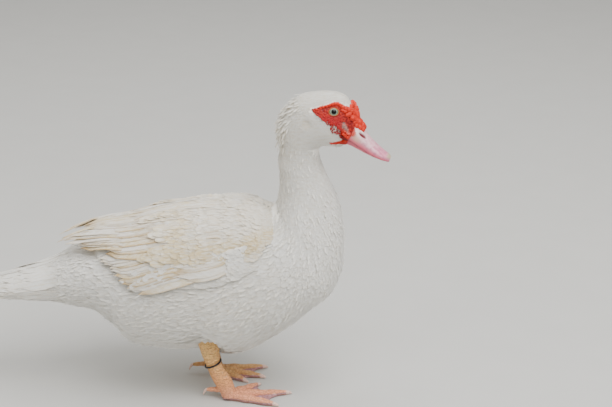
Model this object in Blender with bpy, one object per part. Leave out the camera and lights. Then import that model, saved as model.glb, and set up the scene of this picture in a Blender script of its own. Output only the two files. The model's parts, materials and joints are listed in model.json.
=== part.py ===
"""A life-size white muscovy duck that stands on both feet, facing +X, with +Z up and its right side at -Y.

Units are metres. The origin is under the middle of the bird, on the plane that the soles stand on.
The flesh is one loft of rings from the tail root, along the body, up the neck and over the head.
Each ring is planar. It has a point on the back line, a point on the belly line and a half width.
The ring number s runs from 0 at the tail root to 29 at the bill base.
The angle theta runs from 0 at the back line, down the right side, to 180 degrees at the belly line.
"""

import math
from collections import namedtuple

import bmesh
import bpy
from mathutils import Matrix, Vector

GAP = 0.0003
ROUNDNESS = 2.15
HEAD_YAW = math.radians(-8)
NECK_AXIS_X = 0.148
TURN_START_Z = 0.262
TURN_END_Z = 0.290

Ring = namedtuple("Ring", "name back_x back_z belly_x belly_z half_width egg")
BODY = [
    Ring("tail_root", -0.1450, 0.1625, -0.1450, 0.1135, 0.0390, 0.00),
    Ring("rump", -0.1180, 0.1790, -0.1180, 0.1080, 0.0500, 0.00),
    Ring("vent", -0.0920, 0.1905, -0.0920, 0.1010, 0.0590, 0.00),
    Ring("hip", -0.0685, 0.1995, -0.0685, 0.0810, 0.0670, 0.02),
    Ring("thigh", -0.0450, 0.2070, -0.0450, 0.0620, 0.0740, 0.04),
    Ring("belly", -0.0050, 0.2195, -0.0050, 0.0570, 0.0820, 0.05),
    Ring("keel_rear", 0.0350, 0.2265, 0.0370, 0.0520, 0.0855, 0.05),
    Ring("keel", 0.0580, 0.2300, 0.0620, 0.0475, 0.0860, 0.06),
    Ring("keel_front", 0.0780, 0.2325, 0.0850, 0.0535, 0.0850, 0.06),
    Ring("shoulder", 0.1000, 0.2305, 0.1100, 0.0680, 0.0830, 0.08),
    Ring("mantle", 0.1130, 0.2300, 0.1350, 0.0850, 0.0810, 0.10),
    Ring("crop_low", 0.1180, 0.2325, 0.1650, 0.1090, 0.0765, 0.10),
    Ring("crop", 0.1200, 0.2360, 0.1880, 0.1310, 0.0700, 0.10),
    Ring("breast", 0.1210, 0.2410, 0.1985, 0.1570, 0.0620, 0.08),
    Ring("breast_top", 0.1220, 0.2470, 0.2008, 0.1870, 0.0540, 0.06),
    Ring("neck_base", 0.1230, 0.2550, 0.1990, 0.2150, 0.0450, 0.04),
    Ring("neck_low", 0.1235, 0.2640, 0.1930, 0.2400, 0.0370, 0.02),
    Ring("neck_mid", 0.1230, 0.2760, 0.1825, 0.2640, 0.0300, 0.00),
    Ring("neck_high", 0.1222, 0.2900, 0.1740, 0.2840, 0.0262, 0.00),
    Ring("throat", 0.1235, 0.3020, 0.1715, 0.2960, 0.0245, 0.00),
    Ring("nape_low", 0.1228, 0.3160, 0.1725, 0.3025, 0.0245, 0.00),
    Ring("nape", 0.1225, 0.3300, 0.1755, 0.3055, 0.0255, 0.00),
    Ring("nape_top", 0.1275, 0.3435, 0.1795, 0.3068, 0.0262, 0.00),
    Ring("crown_back", 0.1370, 0.3568, 0.1835, 0.3065, 0.0266, -0.02),
    Ring("crown", 0.1510, 0.3670, 0.1880, 0.3060, 0.0265, -0.03),
    Ring("crown_top", 0.1685, 0.3708, 0.1935, 0.3055, 0.0255, -0.04),
    Ring("brow", 0.1835, 0.3716, 0.1962, 0.3060, 0.0235, -0.04),
    Ring("forehead", 0.1960, 0.3694, 0.1982, 0.3068, 0.0210, -0.04),
    Ring("lore", 0.2058, 0.3612, 0.2000, 0.3082, 0.0180, -0.04),
    Ring("bill_base", 0.2150, 0.3385, 0.2022, 0.3098, 0.0155, -0.04),
]
NECK_CUT = 15.5
HEAD_CUT = 19.6
LAST_RING = len(BODY) - 1
BODY_SIDES = 24
TORSO_STEPS = 22
NECK_STEPS = 5
HEAD_STEPS = 15

BILL = [
    Ring("base", 0.2150, 0.3385, 0.2022, 0.3098, 0.0148, -0.04),
    Ring("nostril", 0.2225, 0.3275, 0.2100, 0.3068, 0.0138, -0.04),
    Ring("middle", 0.2300, 0.3180, 0.2200, 0.3018, 0.0130, -0.04),
    Ring("front", 0.2390, 0.3088, 0.2305, 0.2968, 0.0128, -0.04),
    Ring("nail_root", 0.2465, 0.3022, 0.2400, 0.2932, 0.0118, -0.04),
    Ring("nail", 0.2515, 0.2985, 0.2475, 0.2908, 0.0092, -0.04),
    Ring("tip", 0.2540, 0.2955, 0.2520, 0.2896, 0.0045, -0.04),
]
MOUTH_SHARE = 0.70
LOWER_BILL_WIDTH = 0.82

TAIL = [
    Ring("root", -0.1450, 0.1605, -0.1450, 0.1150, 0.0380, 0.00),
    Ring("coverts", -0.1650, 0.1530, -0.1650, 0.1172, 0.0368, 0.00),
    Ring("core", -0.1900, 0.1440, -0.1900, 0.1195, 0.0340, 0.00),
    Ring("vanes", -0.2150, 0.1355, -0.2150, 0.1225, 0.0290, 0.00),
    Ring("core_end", -0.2320, 0.1305, -0.2320, 0.1250, 0.0220, 0.00),
]
TAIL_ROOT_X = -0.1780
TAIL_TIP_X = -0.2560
TAIL_TIP_BACK = 0.0200
TAIL_ROLL = 0.42
TAIL_HALF_SPREAD_ROOT = 0.0190
TAIL_HALF_SPREAD_TIP = 0.0320
TAIL_ROOT_Z = 0.1420
TAIL_ROOT_FALL = 0.0110
TAIL_TIP_Z = 0.1300
TAIL_TIP_FALL = 0.0014
COVERT_START = 0.35
COVERT_REACH = 2.30
COVERT_SPREAD_ABOVE = 0.95
COVERT_SPREAD_BELOW = 0.80
COVERT_SUNK = -0.0012
COVERT_RISE = 0.0022
COVERT_HALF_WIDTH = 0.0096

# stand and hollow lift the top edge's outer and inner face, so that the wing's tip is free of the rump.
Column = namedtuple("Column", "s top_deg bottom_deg outer inner stand hollow", defaults=(0.0, 0.0))
WING_PAD = [
    Column(9.60, 32, 48, 0.0010, -0.0060, 0.0000, 0.0000),
    Column(9.20, 15, 56, 0.0035, -0.0060, 0.0000, 0.0000),
    Column(8.50, 9, 60, 0.0048, -0.0060, 0.0000, 0.0000),
    Column(7.00, 7, 63, 0.0048, -0.0060, 0.0005, 0.0000),
    Column(5.50, 7, 65, 0.0042, -0.0060, 0.0025, 0.0000),
    Column(4.30, 7, 69, 0.0036, -0.0060, 0.0055, 0.0000),
    Column(3.40, 7, 60, 0.0036, -0.0040, 0.0085, 0.0000),
    Column(2.70, 8, 46, 0.0040, 0.0000, 0.0110, 0.0060),
    Column(2.00, 10, 34, 0.0045, 0.0015, 0.0135, 0.0090),
]
WING_RIM = 0.3

Tier = namedtuple("Tier", "count root_low root_high tip_low tip_high bow half_width root_rise tip_rise tilt")
WING_TIERS = [
    Tier(4, (5.2, 41), (5.0, 24), (1.45, 28), (0.85, 13), 2, 0.0075, -0.0012, 0.0052, 8),
    Tier(6, (7.2, 60), (6.8, 42), (4.15, 80), (2.20, 52), -2, 0.0098, -0.0012, 0.0030, 12),
    Tier(4, (7.4, 42), (7.4, 17), (2.55, 42), (1.75, 15), 3, 0.0116, -0.0012, 0.0036, 10),
    Tier(4, (9.0, 52), (8.8, 35), (6.20, 62), (5.60, 45), 0, 0.0112, -0.0012, 0.0044, 12),
    Tier(4, (9.3, 33), (9.1, 15), (5.90, 38), (5.50, 15), 1, 0.0118, -0.0014, 0.0046, 9),
]
RISE_SHARE = 0.50
VANE_SHARES = (0.0, 0.35, 0.80, 1.0)
VANE_WIDTHS = (0.60, 1.00, 0.85, 0.30)
VANE_THICKNESS = 0.0006
VANE_CAMBER = 0.05
LEAST_LIFT = 0.0026

TAIL_FEATHERS = 12
TAIL_FEATHER_HALF_WIDTH = 0.0075
TAIL_COVERTS_ABOVE = 5
TAIL_COVERTS_BELOW = 4
CREST = [(24.4, 0), (23.7, -14), (23.7, 14), (22.9, 0), (22.9, -27), (22.9, 27), (22.1, -14), (22.1, 14)]
CREST_REACH = 1.6
CREST_SUNK = -0.0015
CREST_RISE = 0.0042
CREST_HALF_WIDTH = 0.0042
CREST_SHARES = (0.0, 0.5, 1.0)
CREST_WIDTHS = (0.7, 1.0, 0.3)
EAR_S = 23.67
EAR_DEG = 81
EAR_RADIUS = 0.0052
EAR_DEPTH = 0.0016
FACE = [
    Column(24.35, 56, 60, 0.0008, -0.0020),
    Column(24.75, 52, 69, 0.0012, -0.0020),
    Column(25.30, 49, 84, 0.0016, -0.0020),
    Column(25.80, 46, 95, 0.0018, -0.0020),
    Column(26.40, 38, 98, 0.0018, -0.0020),
    Column(27.10, 31, 110, 0.0018, -0.0020),
    Column(27.80, 25, 115, 0.0018, -0.0020),
    Column(28.40, 15, 116, 0.0018, -0.0020),
    Column(28.85, 12, 112, 0.0014, -0.0020),
]
EYE_S = 26.28
EYE_DEG = 65
EYEBALL_RADIUS = 0.0064
EYEBALL_DEPTH = 0.0036
LID_RADIUS = 0.0056
LID_THICKNESS = 0.0011
LID_LIFT = 0.0014
FACE_STEPS = 9
FACE_ACROSS = 6
FACE_RIM = 0.3

Bulb = namedtuple("Bulb", "s deg sunk radius")
SMALL_BULB = 0.0037
CARUNCLES = [
    Bulb(25.10, 52, 0.0012, 0.0024),
    Bulb(25.70, 48, 0.0012, 0.0026),
    Bulb(26.30, 41, 0.0012, 0.0028),
    Bulb(26.85, 35, 0.0012, 0.0031),
    Bulb(27.35, 32, 0.0012, 0.0036),
    Bulb(27.85, 30, 0.0012, 0.0042),
    Bulb(28.35, 33, 0.0012, 0.0047),
    Bulb(28.05, 44, 0.0012, 0.0036),
    Bulb(28.50, 55, 0.0012, 0.0032),
]
LEFT_CARUNCLES = [
    Bulb(27.55, 25, 0.0006, 0.0046),
    Bulb(28.15, 23, 0.0004, 0.0050),
]
KNOB = [
    Bulb(28.75, 0, 0.0010, 0.0066),
    Bulb(28.80, 48, 0.0012, 0.0044),
    Bulb(28.80, -48, 0.0012, 0.0044),
    Bulb(28.15, 24, 0.0018, 0.0034),
    Bulb(28.15, -24, 0.0018, 0.0034),
]

KNOB_FRONT_S = 0.5
KNOB_FRONT_LIFT = 0.0012
KNOB_FRONT_RADIUS = 0.0064
NOSTRIL_S = 1.25
NOSTRIL_END_S = 1.60
NOSTRIL_DEG = 42
NOSTRIL_RADII = (0.0012, 0.0016, 0.0032)

Stop = namedtuple("Stop", "x y z along across")
LEG_RIGHT = [
    Stop(0.0390, -0.0440, 0.0900, 0.0150, 0.0135),
    Stop(0.0400, -0.0445, 0.0730, 0.0128, 0.0115),
    Stop(0.0415, -0.0450, 0.0610, 0.0108, 0.0098),
    Stop(0.0445, -0.0450, 0.0470, 0.0084, 0.0080),
    Stop(0.0490, -0.0450, 0.0360, 0.0086, 0.0078),
    Stop(0.0535, -0.0450, 0.0275, 0.0087, 0.0078),
    Stop(0.0572, -0.0450, 0.0215, 0.0088, 0.0080),
]
LEG_LEFT = [
    Stop(0.0270, 0.0380, 0.0900, 0.0150, 0.0135),
    Stop(0.0280, 0.0365, 0.0730, 0.0128, 0.0115),
    Stop(0.0290, 0.0350, 0.0610, 0.0108, 0.0098),
    Stop(0.0310, 0.0325, 0.0470, 0.0084, 0.0080),
    Stop(0.0342, 0.0303, 0.0360, 0.0086, 0.0078),
    Stop(0.0372, 0.0288, 0.0275, 0.0087, 0.0078),
    Stop(0.0398, 0.0277, 0.0215, 0.0088, 0.0080),
]
Foot = namedtuple("Foot", "ball outer middle inner hallux")
FOOT_RIGHT = Foot((0.0635, -0.0450), (0.1160, -0.0640), (0.1310, -0.0335), (0.0955, -0.0125), (0.0360, -0.0400))
FOOT_LEFT = Foot((0.0450, 0.0260), (0.1010, 0.0385), (0.0990, 0.0120), (0.0790, 0.0010), (0.0150, 0.0300))
TOE_ROOT_RADIUS = 0.0072
TOE_TIP_RADIUS = 0.0034
TOE_ROOT_Z = 0.0058
TOE_TIP_Z = 0.0030
HALLUX_ROOT_RADIUS = 0.0045
HALLUX_TIP_RADIUS = 0.0024
HALLUX_ROOT_Z = 0.0130
HALLUX_TIP_Z = 0.0100
CLAW_TIP_Z = 0.0012
WEB_LOW = 0.0007
WEB_HIGH = 0.0024
WEB_START = 0.25
WEB_REACH = 0.93
WEB_HOLLOW = 0.16
TOE_SHARES = (0.0, 0.20, 0.42, 0.56, 0.74, 1.0)
TOE_SWELL = (1.0, 0.86, 1.06, 0.90, 1.06, 1.0)
TOE_FLATNESS = 0.90
HEEL_BELOW_ANKLE = 0.0040
HEEL_RADII = (0.0085, 0.0080)
HEEL_Z = 0.0040
SOLE_RADII = (0.0105, 0.0095, 0.0070)
SOLE_Z = 0.0045
CLAW_LENGTH = 0.0095
CLAW_PROFILE = ((0.0, 1.0), (0.1, 0.98), (0.45, 0.80), (0.75, 0.48), (1.0, 0.15))
CLAW_HEIGHT_SHARE = 0.78
CLAW_WIDTH_SHARE = 0.70
BAND_STOP = 3
BAND_MAJOR = 0.0099
BAND_MINOR = 0.0011

FEATHER = ("white_plumage", (0.86, 0.85, 0.80), 0.80)
QUILL = ("cream_quills", (0.84, 0.79, 0.68), 0.70)
RED_SKIN = ("red_caruncle", (0.72, 0.08, 0.04), 0.50)
PINK_BILL = ("pink_bill", (0.82, 0.55, 0.52), 0.40)
LEG_SKIN = ("orange_leg", (0.80, 0.42, 0.20), 0.55)
CLAW_HORN = ("pale_claw", (0.85, 0.72, 0.66), 0.40)
EYE_GLASS = ("grey_eye", (0.30, 0.36, 0.33), 0.05)
BAND_PLASTIC = ("black_band", (0.02, 0.02, 0.025), 0.40)


def clear_scene():
    for obj in list(bpy.data.objects):
        bpy.data.objects.remove(obj, do_unlink=True)


def paint(obj, finish):
    """Gives the object its own Principled material."""
    name, colour, roughness = finish
    material = bpy.data.materials.new(f"{name}_{obj.name}")
    material.use_nodes = True
    shader = material.node_tree.nodes["Principled BSDF"]
    shader.inputs["Base Color"].default_value = (*colour, 1.0)
    shader.inputs["Roughness"].default_value = roughness
    obj.data.materials.clear()
    obj.data.materials.append(material)


def blended(rows, s):
    """The numbers of the rows at the place s, on a smooth curve through them."""
    s = min(max(s, 0.0), len(rows) - 1 - 1e-9)
    i = int(s)
    t = s - i
    picks = [rows[max(i - 1, 0)], rows[i], rows[i + 1], rows[min(i + 2, len(rows) - 1)]]
    values = []
    for a, b, c, d in zip(*picks):
        if isinstance(a, str):
            continue
        bend = (2 * a - 5 * b + 4 * c - d) * t * t + (-a + 3 * b - 3 * c + d) * t**3
        values.append(0.5 * (2 * b + (c - a) * t + bend))
    return values


def turned(point):
    """The point after the head's turn, which grows from the neck's foot to its top."""
    share = min(max((point.z - TURN_START_Z) / (TURN_END_Z - TURN_START_Z), 0.0), 1.0)
    share = share * share * (3 - 2 * share)
    offset = Vector((point.x - NECK_AXIS_X, point.y, 0))
    offset.rotate(Matrix.Rotation(HEAD_YAW * share, 3, "Z"))
    return Vector((NECK_AXIS_X + offset.x, offset.y, point.z))


def section_point(values, theta):
    """A point of one ring at the angle theta, with no turn."""
    back_x, back_z, belly_x, belly_z, half_width, egg = values
    middle = Vector(((back_x + belly_x) / 2, 0, (back_z + belly_z) / 2))
    up = Vector(((back_x - belly_x) / 2, 0, (back_z - belly_z) / 2))
    cosine, sine = math.cos(theta), math.sin(theta)
    rise = math.copysign(abs(cosine) ** (2 / ROUNDNESS), cosine)
    side = math.copysign(abs(sine) ** (2 / ROUNDNESS), sine)
    return middle + up * rise - Vector((0, half_width * side * (1 - egg * cosine), 0))


def ring_normal(values):
    """The way along the loft, square to the ring's plane."""
    back_x, back_z, belly_x, belly_z = values[:4]
    return Vector((back_z - belly_z, 0, belly_x - back_x)).normalized()


def surface(rows, s, theta, lift=0.0):
    """A point of a loft, moved out by lift along the surface's normal."""
    here = section_point(blended(rows, s), theta)
    if lift:
        here = here + lift * surface_normal(rows, s, theta)
    return here


def surface_normal(rows, s, theta):
    """The outward normal of a loft."""
    step = 0.02
    s = min(max(s, step), len(rows) - 1 - step)
    along = section_point(blended(rows, s + step), theta) - section_point(blended(rows, s - step), theta)
    ahead = section_point(blended(rows, s), theta + step)
    behind = section_point(blended(rows, s), theta - step)
    normal = along.cross(ahead - behind)
    middle = (section_point(blended(rows, s), 0) + section_point(blended(rows, s), math.pi)) / 2
    if normal.dot(section_point(blended(rows, s), theta) - middle) < 0:
        normal.negate()
    return normal.normalized()


def body_point(s, theta, lift=0.0):
    return turned(surface(BODY, s, theta, lift))


def body_normal(s, theta):
    normal = surface_normal(BODY, s, theta)
    if s > NECK_CUT + 2:
        normal.rotate(Matrix.Rotation(HEAD_YAW, 3, "Z"))
    return normal


def mesh_object(name, points, faces, smooth=True):
    mesh = bpy.data.meshes.new(name)
    mesh.from_pydata([tuple(p) for p in points], [], faces)
    work = bmesh.new()
    work.from_mesh(mesh)
    bmesh.ops.recalc_face_normals(work, faces=work.faces[:])
    work.to_mesh(mesh)
    work.free()
    if smooth:
        mesh.shade_smooth()
        mesh.set_sharp_from_angle(angle=math.radians(50))
    obj = bpy.data.objects.new(name, mesh)
    bpy.context.collection.objects.link(obj)
    return obj


def skin_rings(name, rings):
    """A closed tube through rings of equally many points, with flat ends.

    Every quad is split the same way, so that a grown copy keeps an even gap.
    """
    count = len(rings[0])
    points = [p for ring in rings for p in ring]
    faces = []
    for i in range(len(rings) - 1):
        for j in range(count):
            k = (j + 1) % count
            a, b, c, d = i * count + j, i * count + k, (i + 1) * count + k, (i + 1) * count + j
            faces += [(a, b, c), (a, c, d)]
    faces.append(tuple(range(count)))
    faces.append(tuple(range((len(rings) - 1) * count, len(rings) * count)))
    return mesh_object(name, points, faces)


def loft(name, rows, start, end, steps, sides, lift=0.0, gap_start=0.0, gap_end=0.0):
    """A closed piece of a loft from ring start to ring end. The gaps move its end rings inwards."""
    rings = []
    for i in range(steps + 1):
        s = start + (end - start) * i / steps
        values = blended(rows, s)
        inward = Vector()
        if i == 0:
            inward = ring_normal(values) * gap_start
        if i == steps:
            inward = ring_normal(values) * -gap_end
        ring = [surface(rows, s, 2 * math.pi * j / sides, lift) + inward for j in range(sides)]
        rings.append([turned(p) for p in ring])
    return skin_rings(name, rings)


def bulged(column, share, rim):
    """How far a pad stands off the body at this share of its breadth."""
    bulge = rim + (1 - rim) * math.sin(math.pi * share) ** 0.5
    low = max(column[4], 0.0)
    return low + (column[3] - low) * bulge + column[5] * (1 - share)


def pad(name, columns, side, steps, rows_across, rim):
    """A closed pad that lies on the body between two angles, thickest along its middle."""
    sign = 1 if side == "right" else -1
    outer, inner = [], []
    for i in range(steps + 1):
        column = blended(columns, i * (len(columns) - 1) / steps)
        s, top, bottom, _, deep, _, hollow = column
        for j in range(rows_across + 1):
            share = j / rows_across
            theta = sign * math.radians(top + (bottom - top) * share)
            outer.append(body_point(s, theta, bulged(column, share, rim)))
            inner.append(body_point(s, theta, deep + hollow * (1 - share)))
    wide = rows_across + 1
    size = len(outer)
    points = outer + inner
    faces = []
    for i in range(steps):
        for j in range(rows_across):
            a = i * wide + j
            faces.append((a, a + 1, a + wide + 1, a + wide))
            faces.append((size + a, size + a + wide, size + a + wide + 1, size + a + 1))
    for i in range(steps):
        for j in (0, rows_across):
            a = i * wide + j
            faces.append((a, a + wide, size + a + wide, size + a))
    for j in range(rows_across):
        for i in (0, steps):
            a = i * wide + j
            faces.append((a, a + 1, size + a + 1, size + a))
    return mesh_object(name, points, faces)


def vane(name, places, ups, half_widths):
    """A thin solid feather along the places. Both faces are split into triangles alike."""
    top = []
    for i, place in enumerate(places):
        way = places[min(i + 1, len(places) - 1)] - places[max(i - 1, 0)]
        across = way.cross(ups[i]).normalized()
        up = across.cross(way).normalized()
        half = half_widths[i]
        top += [place - across * half, place + up * (VANE_CAMBER * half), place + across * half]
    size = len(top)
    bottom = []
    for i in range(size):
        bottom.append(top[i] - ups[i // 3].normalized() * VANE_THICKNESS)
    faces = []
    for i in range(len(places) - 1):
        for j in range(2):
            a = i * 3 + j
            faces += [(a, a + 1, a + 4), (a, a + 4, a + 3)]
            faces += [(size + a, size + a + 4, size + a + 1), (size + a, size + a + 3, size + a + 4)]
        for j in (0, 2):
            a = i * 3 + j
            faces += [(a, a + 3, size + a + 3), (a, size + a + 3, size + a)]
    for a in (0, 1, size - 3, size - 2):
        faces += [(a, a + 1, size + a + 1), (a, size + a + 1, size + a)]
    return mesh_object(name, top + bottom, faces)


def ball(name, centre, radii, axis=None, divisions=2):
    """An ellipsoid of few faces, with its Z radius along the axis."""
    mesh = bpy.data.meshes.new(name)
    work = bmesh.new()
    bmesh.ops.create_icosphere(work, subdivisions=divisions, radius=1.0)
    turn = Matrix.Identity(3) if axis is None else axis.to_track_quat("Z", "Y").to_matrix()
    placed = Matrix.Translation(centre) @ turn.to_4x4() @ Matrix.Diagonal((*radii, 1))
    bmesh.ops.transform(work, matrix=placed, verts=work.verts[:])
    work.to_mesh(mesh)
    work.free()
    mesh.shade_smooth()
    obj = bpy.data.objects.new(name, mesh)
    bpy.context.collection.objects.link(obj)
    return obj


def torus(name, centre, axis, major, minor, around, across):
    """A closed ring round the axis."""
    turn = axis.to_track_quat("Z", "Y").to_matrix()
    points, faces = [], []
    for i in range(around):
        a = 2 * math.pi * i / around
        for j in range(across):
            b = 2 * math.pi * j / across
            reach = major + minor * math.cos(b)
            points.append(centre + turn @ Vector((reach * math.cos(a), reach * math.sin(a), minor * math.sin(b))))
    for i in range(around):
        for j in range(across):
            k, m = (i + 1) % around, (j + 1) % across
            faces.append((i * across + j, k * across + j, k * across + m, i * across + m))
    return mesh_object(name, points, faces)


def block(name, low, high):
    corners = [Vector((x, y, z)) for x in (low[0], high[0]) for y in (low[1], high[1]) for z in (low[2], high[2])]
    faces = [(0, 1, 3, 2), (4, 6, 7, 5), (0, 4, 5, 1), (2, 3, 7, 6), (0, 2, 6, 4), (1, 5, 7, 3)]
    return mesh_object(name, corners, faces, smooth=False)


def tube(name, stops, sides, shift_end=0.0):
    """A closed tube through the stops, whose sections are ellipses square to its path."""
    rings = []
    places = [Vector(stop[:3]) for stop in stops]
    for i, stop in enumerate(stops):
        way = (places[min(i + 1, len(stops) - 1)] - places[max(i - 1, 0)]).normalized()
        if i == len(stops) - 1:
            places[i] = places[i] - way * shift_end
        across = Vector((0, 0, 1)).cross(way)
        across = across.normalized() if across.length > 0.3 else Vector((0, 1, 0))
        along = way.cross(across).normalized()
        across = along.cross(way)
        ring = []
        for j in range(sides):
            a = 2 * math.pi * j / sides
            ring.append(places[i] + along * (stop.along * math.cos(a)) + across * (stop.across * math.sin(a)))
        rings.append(ring)
    return skin_rings(name, rings)


def apply_modifier(obj):
    graph = bpy.context.evaluated_depsgraph_get()
    mesh = bpy.data.meshes.new_from_object(obj.evaluated_get(graph))
    obj.modifiers.clear()
    obj.data = mesh


def remove(objects):
    for obj in objects:
        bpy.data.objects.remove(obj, do_unlink=True)


def combine(obj, others, operation, solver="EXACT"):
    """Joins or cuts with all the others in one Boolean, and removes them."""
    bucket = bpy.data.collections.new("bucket")
    for other in others:
        bucket.objects.link(other)
    modifier = obj.modifiers.new("combine", "BOOLEAN")
    modifier.operation = operation
    modifier.operand_type = "COLLECTION"
    modifier.collection = bucket
    modifier.solver = solver
    apply_modifier(obj)
    bpy.data.collections.remove(bucket)
    remove(others)
    keep_largest(obj)


def keep_largest(obj):
    """Drops every closed surface but the largest."""
    work = bmesh.new()
    work.from_mesh(obj.data)
    bmesh.ops.remove_doubles(work, verts=work.verts[:], dist=1e-6)
    unseen = set(work.faces)
    shells = []
    while unseen:
        start = unseen.pop()
        shell, edge_front = [start], [start]
        while edge_front:
            face = edge_front.pop()
            for edge in face.edges:
                for other in edge.link_faces:
                    if other in unseen:
                        unseen.remove(other)
                        shell.append(other)
                        edge_front.append(other)
        shells.append(shell)
    shells.sort(key=lambda shell: sum(face.calc_area() for face in shell), reverse=True)
    extra = [face for shell in shells[1:] for face in shell]
    if extra:
        bmesh.ops.delete(work, geom=extra, context="FACES")
    work.to_mesh(obj.data)
    work.free()
    obj.data.shade_smooth()
    obj.data.set_sharp_from_angle(angle=math.radians(50))


def side_angle(side, degrees):
    return math.radians(degrees) * (1 if side == "right" else -1)


def make_torso():
    torso = loft("torso", BODY, 0, NECK_CUT, TORSO_STEPS, BODY_SIDES)
    paint(torso, FEATHER)
    return torso


def swollen_torso():
    """The torso grown by the gap, as a cutter for what lies on it."""
    return loft("torso_cutter", BODY, 0, NECK_CUT, TORSO_STEPS, BODY_SIDES, lift=GAP)


def make_neck():
    neck = loft("neck", BODY, NECK_CUT, HEAD_CUT, NECK_STEPS, BODY_SIDES, gap_start=GAP)
    paint(neck, FEATHER)
    return neck


def eye_centre(side):
    theta = side_angle(side, EYE_DEG)
    return body_point(EYE_S, theta) - body_normal(EYE_S, theta) * EYEBALL_DEPTH


def crest_feather(s, degrees):
    """One short loose feather of the nape's crest, which stands off the head at its tip."""
    theta = math.radians(degrees)
    places, ups = [], []
    for share in CREST_SHARES:
        here = s - CREST_REACH * share
        places.append(body_point(here, theta, CREST_SUNK + (CREST_RISE - CREST_SUNK) * share))
        ups.append(body_normal(here, theta))
    return vane("crest_feather", places, ups, [CREST_HALF_WIDTH * width for width in CREST_WIDTHS])


def make_head():
    head = loft("head", BODY, HEAD_CUT, LAST_RING, HEAD_STEPS, BODY_SIDES, gap_start=GAP)
    combine(head, [crest_feather(*root) for root in CREST], "UNION")
    dents = []
    for side in ("right", "left"):
        dents.append(ball(f"socket_{side}", eye_centre(side), (EYEBALL_RADIUS + GAP,) * 3))
        theta = side_angle(side, EAR_DEG)
        normal = body_normal(EAR_S, theta)
        centre = body_point(EAR_S, theta) + normal * (EAR_RADIUS - EAR_DEPTH)
        dents.append(ball(f"ear_{side}", centre, (EAR_RADIUS,) * 3))
    combine(head, dents, "DIFFERENCE")
    paint(head, FEATHER)
    return head


def swollen_head():
    return loft("head_cutter", BODY, HEAD_CUT, LAST_RING, HEAD_STEPS, BODY_SIDES, lift=GAP, gap_end=-GAP)


def make_eye(side):
    eye = ball(f"eye_{side}", eye_centre(side), (EYEBALL_RADIUS,) * 3, divisions=2)
    paint(eye, EYE_GLASS)
    return eye


def bulbs(rows, side, grow):
    """Round lumps of bare skin on the head, each sunk a little into it."""
    found = []
    for i, bulb in enumerate(rows):
        theta = side_angle(side, bulb.deg)
        centre = body_point(bulb.s, theta) - body_normal(bulb.s, theta) * bulb.sunk
        fineness = 2 if bulb.radius > SMALL_BULB else 1
        found.append(ball(f"bulb_{i}", centre, (bulb.radius + grow,) * 3, divisions=fineness))
    return found


def make_knob():
    """The fleshy knob over the root of the bill."""
    knob, *others = bulbs(KNOB, "right", 0.0)
    knob.name = "bill_knob"
    front = turned(surface(BILL, KNOB_FRONT_S, 0.0, KNOB_FRONT_LIFT))
    others.append(ball("knob_front", front, (KNOB_FRONT_RADIUS,) * 3))
    combine(knob, others, "UNION")
    bill = bill_half("bill_cutter", 0, MOUTH_SHARE, 1.0, 0.0, grow=2 * GAP)
    combine(knob, [swollen_head(), bill], "DIFFERENCE")
    paint(knob, RED_SKIN)
    return knob


def make_face(side):
    """The bare red skin round the eye, with the lids as a ring."""
    face = pad(f"face_{side}", FACE, side, FACE_STEPS, FACE_ACROSS, FACE_RIM)
    theta = side_angle(side, EYE_DEG)
    normal = body_normal(EYE_S, theta)
    lid = torus("lid", body_point(EYE_S, theta, LID_LIFT), normal, LID_RADIUS, LID_THICKNESS, 12, 4)
    lumps = bulbs(CARUNCLES, side, 0.0)
    if side == "left":
        lumps += bulbs(LEFT_CARUNCLES, side, 0.0)
    combine(face, [lid, *lumps], "UNION")
    eye_hole = ball("eye_hole", eye_centre(side), (EYEBALL_RADIUS + GAP,) * 3)
    combine(face, [eye_hole, swollen_head(), *bulbs(KNOB, "right", GAP)], "DIFFERENCE")
    paint(face, RED_SKIN)
    return face


def bill_half(name, low, high, width, gap, grow=0.0):
    """The part of the bill between two shares of its depth, measured down from the ridge."""
    arc = 7
    rings = []
    steps = 10
    for i in range(steps + 1):
        s = (len(BILL) - 1) * i / steps
        values = blended(BILL, s)
        back = section_point(values, 0)
        belly = section_point(values, math.pi)
        values[4] = values[4] * width + grow
        inward = ring_normal(values) * (GAP if i == 0 and not grow else 0)
        start = math.acos(1 - 2 * low) if low > 0 else 0.0
        end = math.acos(1 - 2 * high) if high < 1 else math.pi
        up = (back - belly).normalized() * grow
        ring = []
        for j in range(arc + 1):
            theta = start + (end - start) * j / arc
            ring.append(section_point(values, theta) + up * math.cos(theta))
        mirrored = [Vector((p.x, -p.y, p.z)) for p in reversed(ring)]
        if low == 0:
            ring = ring + mirrored[:-1]
        else:
            ring = ring[:-1] + mirrored
        shift = (belly - back).normalized() * gap
        rings.append([turned(p + inward + shift) for p in ring])
    return skin_rings(name, rings)


def make_bill_upper():
    upper = bill_half("bill_upper", 0, MOUTH_SHARE, 1.0, 0.0)
    nostrils = []
    for side in ("right", "left"):
        place = turned(surface(BILL, NOSTRIL_S, side_angle(side, NOSTRIL_DEG)))
        way = turned(surface(BILL, NOSTRIL_END_S, side_angle(side, NOSTRIL_DEG))) - place
        nostrils.append(ball(f"nostril_{side}", place, NOSTRIL_RADII, way))
    combine(upper, nostrils, "DIFFERENCE")
    paint(upper, PINK_BILL)
    return upper


def make_bill_lower():
    lower = bill_half("bill_lower", MOUTH_SHARE, 1, LOWER_BILL_WIDTH, GAP)
    paint(lower, PINK_BILL)
    return lower


def wing_lift(s, degrees):
    """How far the wing's pad stands off the body at a place, also just past its edge."""
    low, high = 0.0, len(WING_PAD) - 1.0
    for _ in range(20):
        middle = (low + high) / 2
        if blended(WING_PAD, middle)[0] > s:
            low = middle
        else:
            high = middle
    column = blended(WING_PAD, low)
    share = min(max((degrees - column[1]) / (column[2] - column[1]), 0.0), 1.0)
    return max(bulged(column, share, WING_RIM), LEAST_LIFT)


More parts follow.
